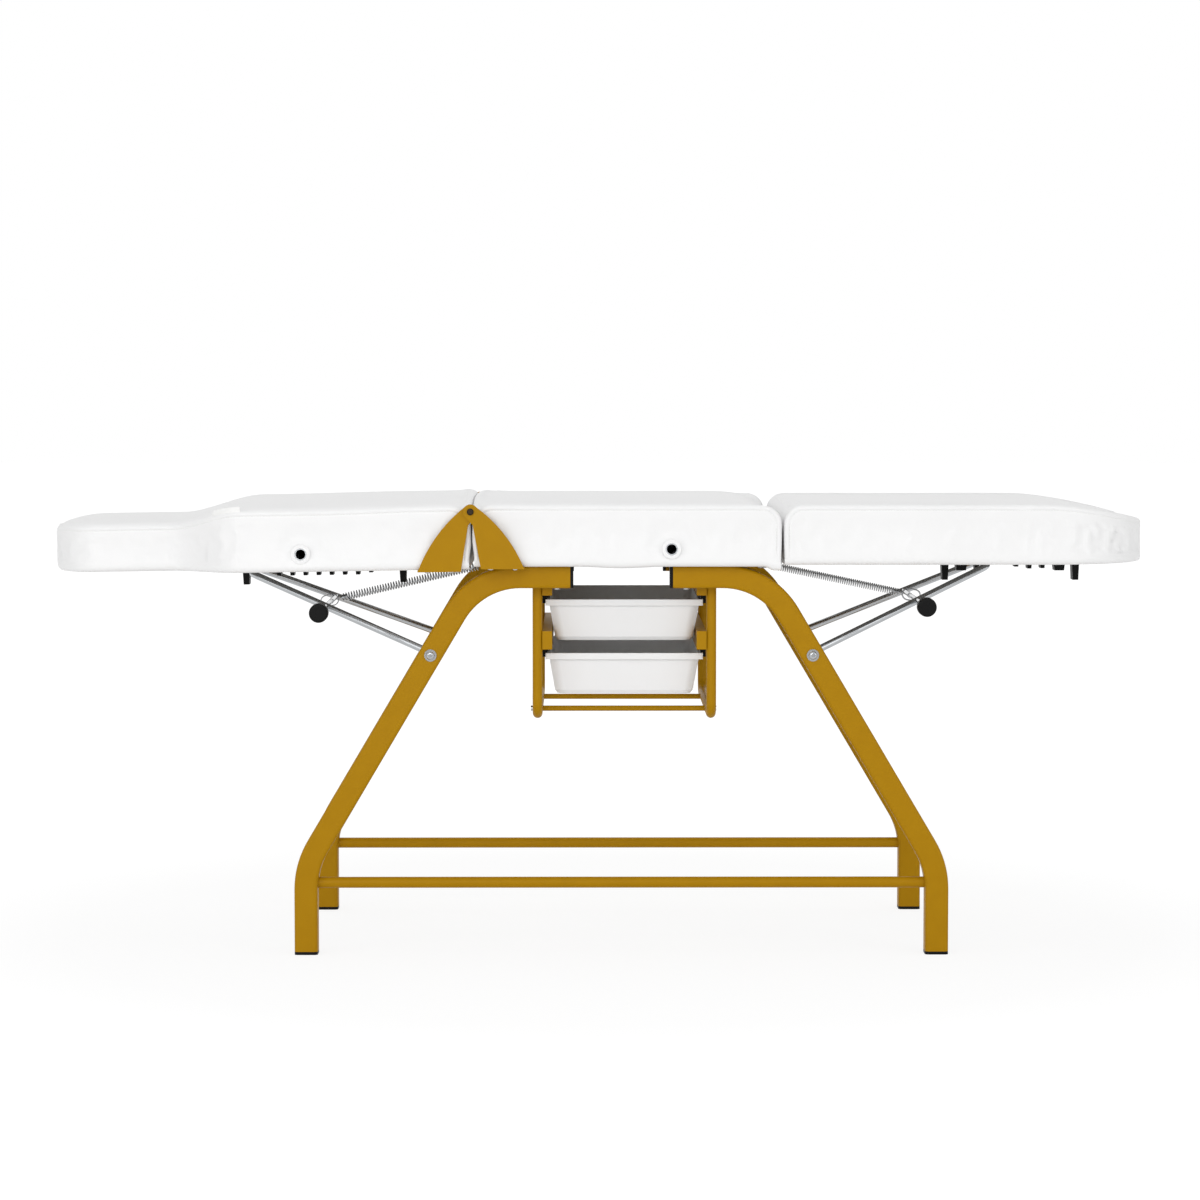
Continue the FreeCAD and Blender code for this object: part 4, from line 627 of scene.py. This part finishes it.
def seam_line(form, start, end, square_end, out):
    """(x, z) along the groove: from the pad's other end to the square one, then round its corner and down it."""
    xs = [start + (end - start) * step / 200 for step in range(201)]
    line = [(x, form(x).edge - form(x).fall - ROLL) for x in xs if abs(x - square_end) > END_ROUND]
    if out < 0:
        line.reverse()
    middle = square_end - out * END_ROUND
    top = form(middle).edge - END_ROUND
    for step in range(1, 9):
        angle = math.pi / 2 * (1 - step / 8)
        line.append((middle + out * (END_ROUND - ROLL) * math.cos(angle), top + (END_ROUND - ROLL) * math.sin(angle)))
    line.append((square_end - out * ROLL, form(square_end).base + 0.016))
    return line


def even_places(line, pitch):
    """Places a pitch apart along a line of points."""
    places = []
    left = 0.0
    for a, b in zip(line, line[1:]):
        length = (b - a).length
        while left < length:
            places.append(a + (b - a) * (left / length))
            left += pitch
        left -= length
    return places


def sew(name, lines, body):
    """One mesh of short threads, thick in the middle and drawn into the cover at both ends."""
    points = []
    faces = []
    sides = 6
    for line in lines:
        places = even_places(line, STITCH_PITCH)
        for here, after in zip(places, places[1:]):
            ahead = (after - here).normalized()
            out = Vector((0, math.copysign(1, here.y), 0))
            up = ahead.cross(out).normalized()
            first = len(points)
            for share, thick, lift in ((-0.5, 0.00022, -0.0003), (-0.25, 0.00042, 0.0002), (0.25, 0.00042, 0.0002),
                                       (0.5, 0.00022, -0.0003)):
                centre = here + ahead * (STITCH * share) + out * lift
                for side in range(sides):
                    angle = 2 * math.pi * side / sides
                    points.append(centre + (out * math.cos(angle) + up * math.sin(angle)) * thick)
            for ring in range(3):
                for side in range(sides):
                    a = first + ring * sides + side
                    b = first + ring * sides + (side + 1) % sides
                    faces.append((a, b, b + sides, a + sides))
            faces.append(tuple(reversed(range(first, first + sides))))
            faces.append(tuple(range(first + 3 * sides, first + 4 * sides)))
    threads = make_piece(name, points, faces, THREAD)
    smooth_normals(threads, 60)
    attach(threads, body)


SEAT_SPLIT = SEAT_START + 0.25
back_ends = [(BACK_START + 0.03, BACK_END, BACK_END, 1)]
seat_ends = [(SEAT_SPLIT, SEAT_END, SEAT_END, 1), (SEAT_START, SEAT_SPLIT, SEAT_START, -1)]
leg_ends = [(LEG_START, LEG_END - 0.006, LEG_START, -1)]
for name, form, dents, shift, body, ends in (
        ("back_stitches", back_form, back_dents, place_back, "backrest", back_ends),
        ("seat_stitches", seat_form, seat_dents, place_seat, "frame", seat_ends),
        ("leg_stitches", leg_form, leg_dents, place_leg, "legrest", leg_ends)):
    lines = []
    for side in (-1, 1):
        for start, end, square_end, out in ends:
            lines.append([shift(Vector((x, side * panel_y(form(x), x, z, dents), z)))
                          for x, z in seam_line(form, start, end, square_end, out)])
    sew(name, lines, body)


# Tab: a bare folded ribbon sewn into the backrest's shoulder seam

TAB_START, TAB_END = -0.624, -0.5765
TAB_HEIGHT = 0.0095
TAB_THICKNESS = 0.0008


def make_tab():
    points = []
    faces = []
    steps = 22
    for step in range(steps + 1):
        x = TAB_START + (TAB_END - TAB_START) * step / steps
        shape = back_form(x)
        foot = shape.edge - 0.002
        wave = 0.0005 * math.sin(7.0 * step / steps)
        outer = []
        inner = []
        for row in range(7):
            share = row / 6
            z = foot + TAB_HEIGHT * share
            y = 0.0025 - shape.half - 0.0016 * share + wave * share
            outer.append(Vector((x, y - TAB_THICKNESS, z)))
            inner.append(Vector((x, y, z)))
        points += outer + [Vector((x, (outer[-1].y + inner[-1].y) / 2, outer[-1].z + 0.0004))] + inner[::-1]
    count = 15
    for step in range(steps):
        for i in range(count):
            j = (i + 1) % count
            a, b = step * count + i, step * count + j
            faces.append((a, b, b + count, a + count))
    faces.append(tuple(range(count)))
    faces.append(tuple(reversed(range(steps * count, steps * count + count))))
    tab = make_piece("back_seam_tab", [drooped(p) for p in points], faces, RIBBON)
    smooth_normals(tab, 50)
    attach(tab, "backrest")


make_tab()


# Springs: wound wire between the eye on the seat and the hook on the release rod

SPRING_END = 0.016
SPRING_WIRE = 0.0019


def wound_wire(name, anchor, hold, radius, turns):
    line = hold - anchor
    length = line.length
    turn = line.to_track_quat("Z", "Y").to_matrix()
    per_turn = 20
    sides = 8
    count = turns * per_turn
    path = []
    for step in range(count + 1):
        share = step / count
        angle = 2 * math.pi * turns * share
        along = SPRING_END + (length - 2 * SPRING_END) * share
        path.append(Vector((radius * math.cos(angle), radius * math.sin(angle), along)))
    points = []
    faces = []
    for step, centre in enumerate(path):
        ahead = path[min(step + 1, count)] - path[max(step - 1, 0)]
        out = Vector((centre.x, centre.y, 0)).normalized()
        up = ahead.normalized().cross(out)
        for side in range(sides):
            angle = 2 * math.pi * side / sides
            bulge = (out * math.cos(angle) + up * math.sin(angle)) * (SPRING_WIRE / 2)
            points.append(anchor + turn @ (centre + bulge))
    for step in range(count):
        for side in range(sides):
            a = step * sides + side
            b = step * sides + (side + 1) % sides
            faces.append((a, b, b + sides, a + sides))
    faces.append(tuple(reversed(range(sides))))
    faces.append(tuple(range(count * sides, count * sides + sides)))
    coil = make_piece(name, points, faces, ZINC)
    smooth_normals(coil, 60)
    return coil


for name, anchor, hold, radius, turns in (
        ("back_spring", Vector((-0.1845, 0.04, 0.624)), Vector((-0.44987, 0.04, 0.56232)), 0.0063, 52),
        ("leg_spring", Vector((0.2835, 0.04, 0.624)), Vector((0.53303, 0.04, 0.57156)), 0.0056, 60)):
    coil = wound_wire(name + "_coil", anchor, hold, radius, turns)
    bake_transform(coil)
    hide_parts(name)


# Floor, light and camera

def seen_directly(tree):
    """1 where the eye meets the surface itself or in a mirror or glass, and 0 where it only gives light."""
    path = add(tree, "ShaderNodeLightPath")
    seen = add(tree, "ShaderNodeMath", {"operation": "MAXIMUM"}, x_0=path.outputs["Is Camera Ray"],
               x_1=path.outputs["Is Glossy Ray"])
    return add(tree, "ShaderNodeMath", {"operation": "MAXIMUM"}, x_0=seen.outputs[0],
               x_1=path.outputs["Is Transmission Ray"]).outputs[0]


def studio():
    floor_mesh = bpy.data.meshes.new("floor")
    floor_mesh.from_pydata([(-30, -30, 0), (30, -30, 0), (30, 30, 0), (-30, 30, 0)], [], [(0, 1, 2, 3)])
    floor = bpy.data.objects.new("floor", floor_mesh)
    bpy.context.scene.collection.objects.link(floor)
    material, tree, place = start_material("floor_paper")
    paper = add(tree, "ShaderNodeBsdfDiffuse", Color=linear("#F4F4F4"))
    far = add(tree, "ShaderNodeVectorMath", {"operation": "LENGTH"}, x_0=place).outputs["Value"]
    fade = add(tree, "ShaderNodeMapRange", Value=far, From_Min=0.9, From_Max=2.4, To_Min=0.86, To_Max=1.0)
    glow = add(tree, "ShaderNodeEmission", Color=(1, 1, 1, 1), Strength=fade.outputs[0])
    lit = add(tree, "ShaderNodeBsdfDiffuse", Color=(0.16, 0.16, 0.16, 1))
    both = add(tree, "ShaderNodeAddShader", x_0=glow.outputs[0], x_1=lit.outputs[0])
    mix = add(tree, "ShaderNodeMixShader", x_0=seen_directly(tree), x_1=paper.outputs[0], x_2=both.outputs[0])
    end_material(tree, mix)
    floor.data.materials.append(material)

    world = bpy.data.worlds.new("studio")
    bpy.context.scene.world = world
    world.use_nodes = True
    tree = world.node_tree
    tree.nodes.clear()
    strength = add(tree, "ShaderNodeMapRange", Value=seen_directly(tree), To_Min=0.58, To_Max=1.0)
    sky = add(tree, "ShaderNodeBackground", Color=(1, 1, 1, 1), Strength=strength.outputs[0])
    add(tree, "ShaderNodeOutputWorld", Surface=sky.outputs[0])

    for name, spot, aim, size, power in (("front_softbox", (-0.6, -4.8, 1.7), (0, 0, 0.5), 2.6, 52),
                                         ("left_softbox", (-3.4, -3.0, 1.4), (-0.3, 0, 0.6), 2.2, 25),
                                         ("right_softbox", (3.2, -3.0, 1.4), (0.3, 0, 0.6), 2.2, 25),
                                         ("top_softbox", (0.0, 0.6, 3.4), (0, 0, 0.6), 2.8, 14)):
        lamp = bpy.data.lights.new(name, "AREA")
        lamp.shape = "SQUARE"
        lamp.size = size
        lamp.energy = power
        light = bpy.data.objects.new(name, lamp)
        light.location = spot
        light.rotation_euler = (Vector(aim) - Vector(spot)).to_track_quat("-Z", "Y").to_euler()
        bpy.context.scene.collection.objects.link(light)

    # Black flags beside and behind the camera, which only mirrors see: they give chrome its dark streaks.
    flag_material, tree, _ = start_material("black_flag")
    end_material(tree, add(tree, "ShaderNodeBsdfDiffuse", Color=(0.004, 0.004, 0.004, 1)))
    for name, corners in (("flag_low", ((-6, -7, 0.02), (6, -7, 0.02), (6, -7, 0.55), (-6, -7, 0.55))),
                          ("flag_high", ((-6, -7, 1.6), (6, -7, 1.6), (6, -7, 2.6), (-6, -7, 2.6))),
                          ("flag_middle", ((-0.8, -7, 0.55), (0.8, -7, 0.55), (0.8, -7, 1.6), (-0.8, -7, 1.6))),
                          ("flag_left", ((-5, -6, 0.1), (-5, -2, 0.1), (-5, -2, 2.5), (-5, -6, 2.5))),
                          ("flag_right", ((5, -6, 0.1), (5, -2, 0.1), (5, -2, 2.5), (5, -6, 2.5)))):
        flag = make_piece(name, corners, [(0, 1, 2, 3)], flag_material)
        flag.visible_camera = False
        flag.visible_diffuse = False
        flag.visible_shadow = False

    camera = bpy.data.objects.new("camera", bpy.data.cameras.new("camera"))
    camera.data.sensor_fit = "HORIZONTAL"
    camera.data.sensor_width = 36.0
    camera.data.lens = 109.47
    camera.data.clip_end = 100.0
    camera.location = (-0.026, -6.185, 0.959)
    camera.rotation_euler = Vector((0.0052, 1.0, -0.06385)).to_track_quat("-Z", "Y").to_euler()
    bpy.context.scene.collection.objects.link(camera)
    bpy.context.scene.camera = camera
    bpy.context.scene.view_settings.view_transform = "Standard"


studio()
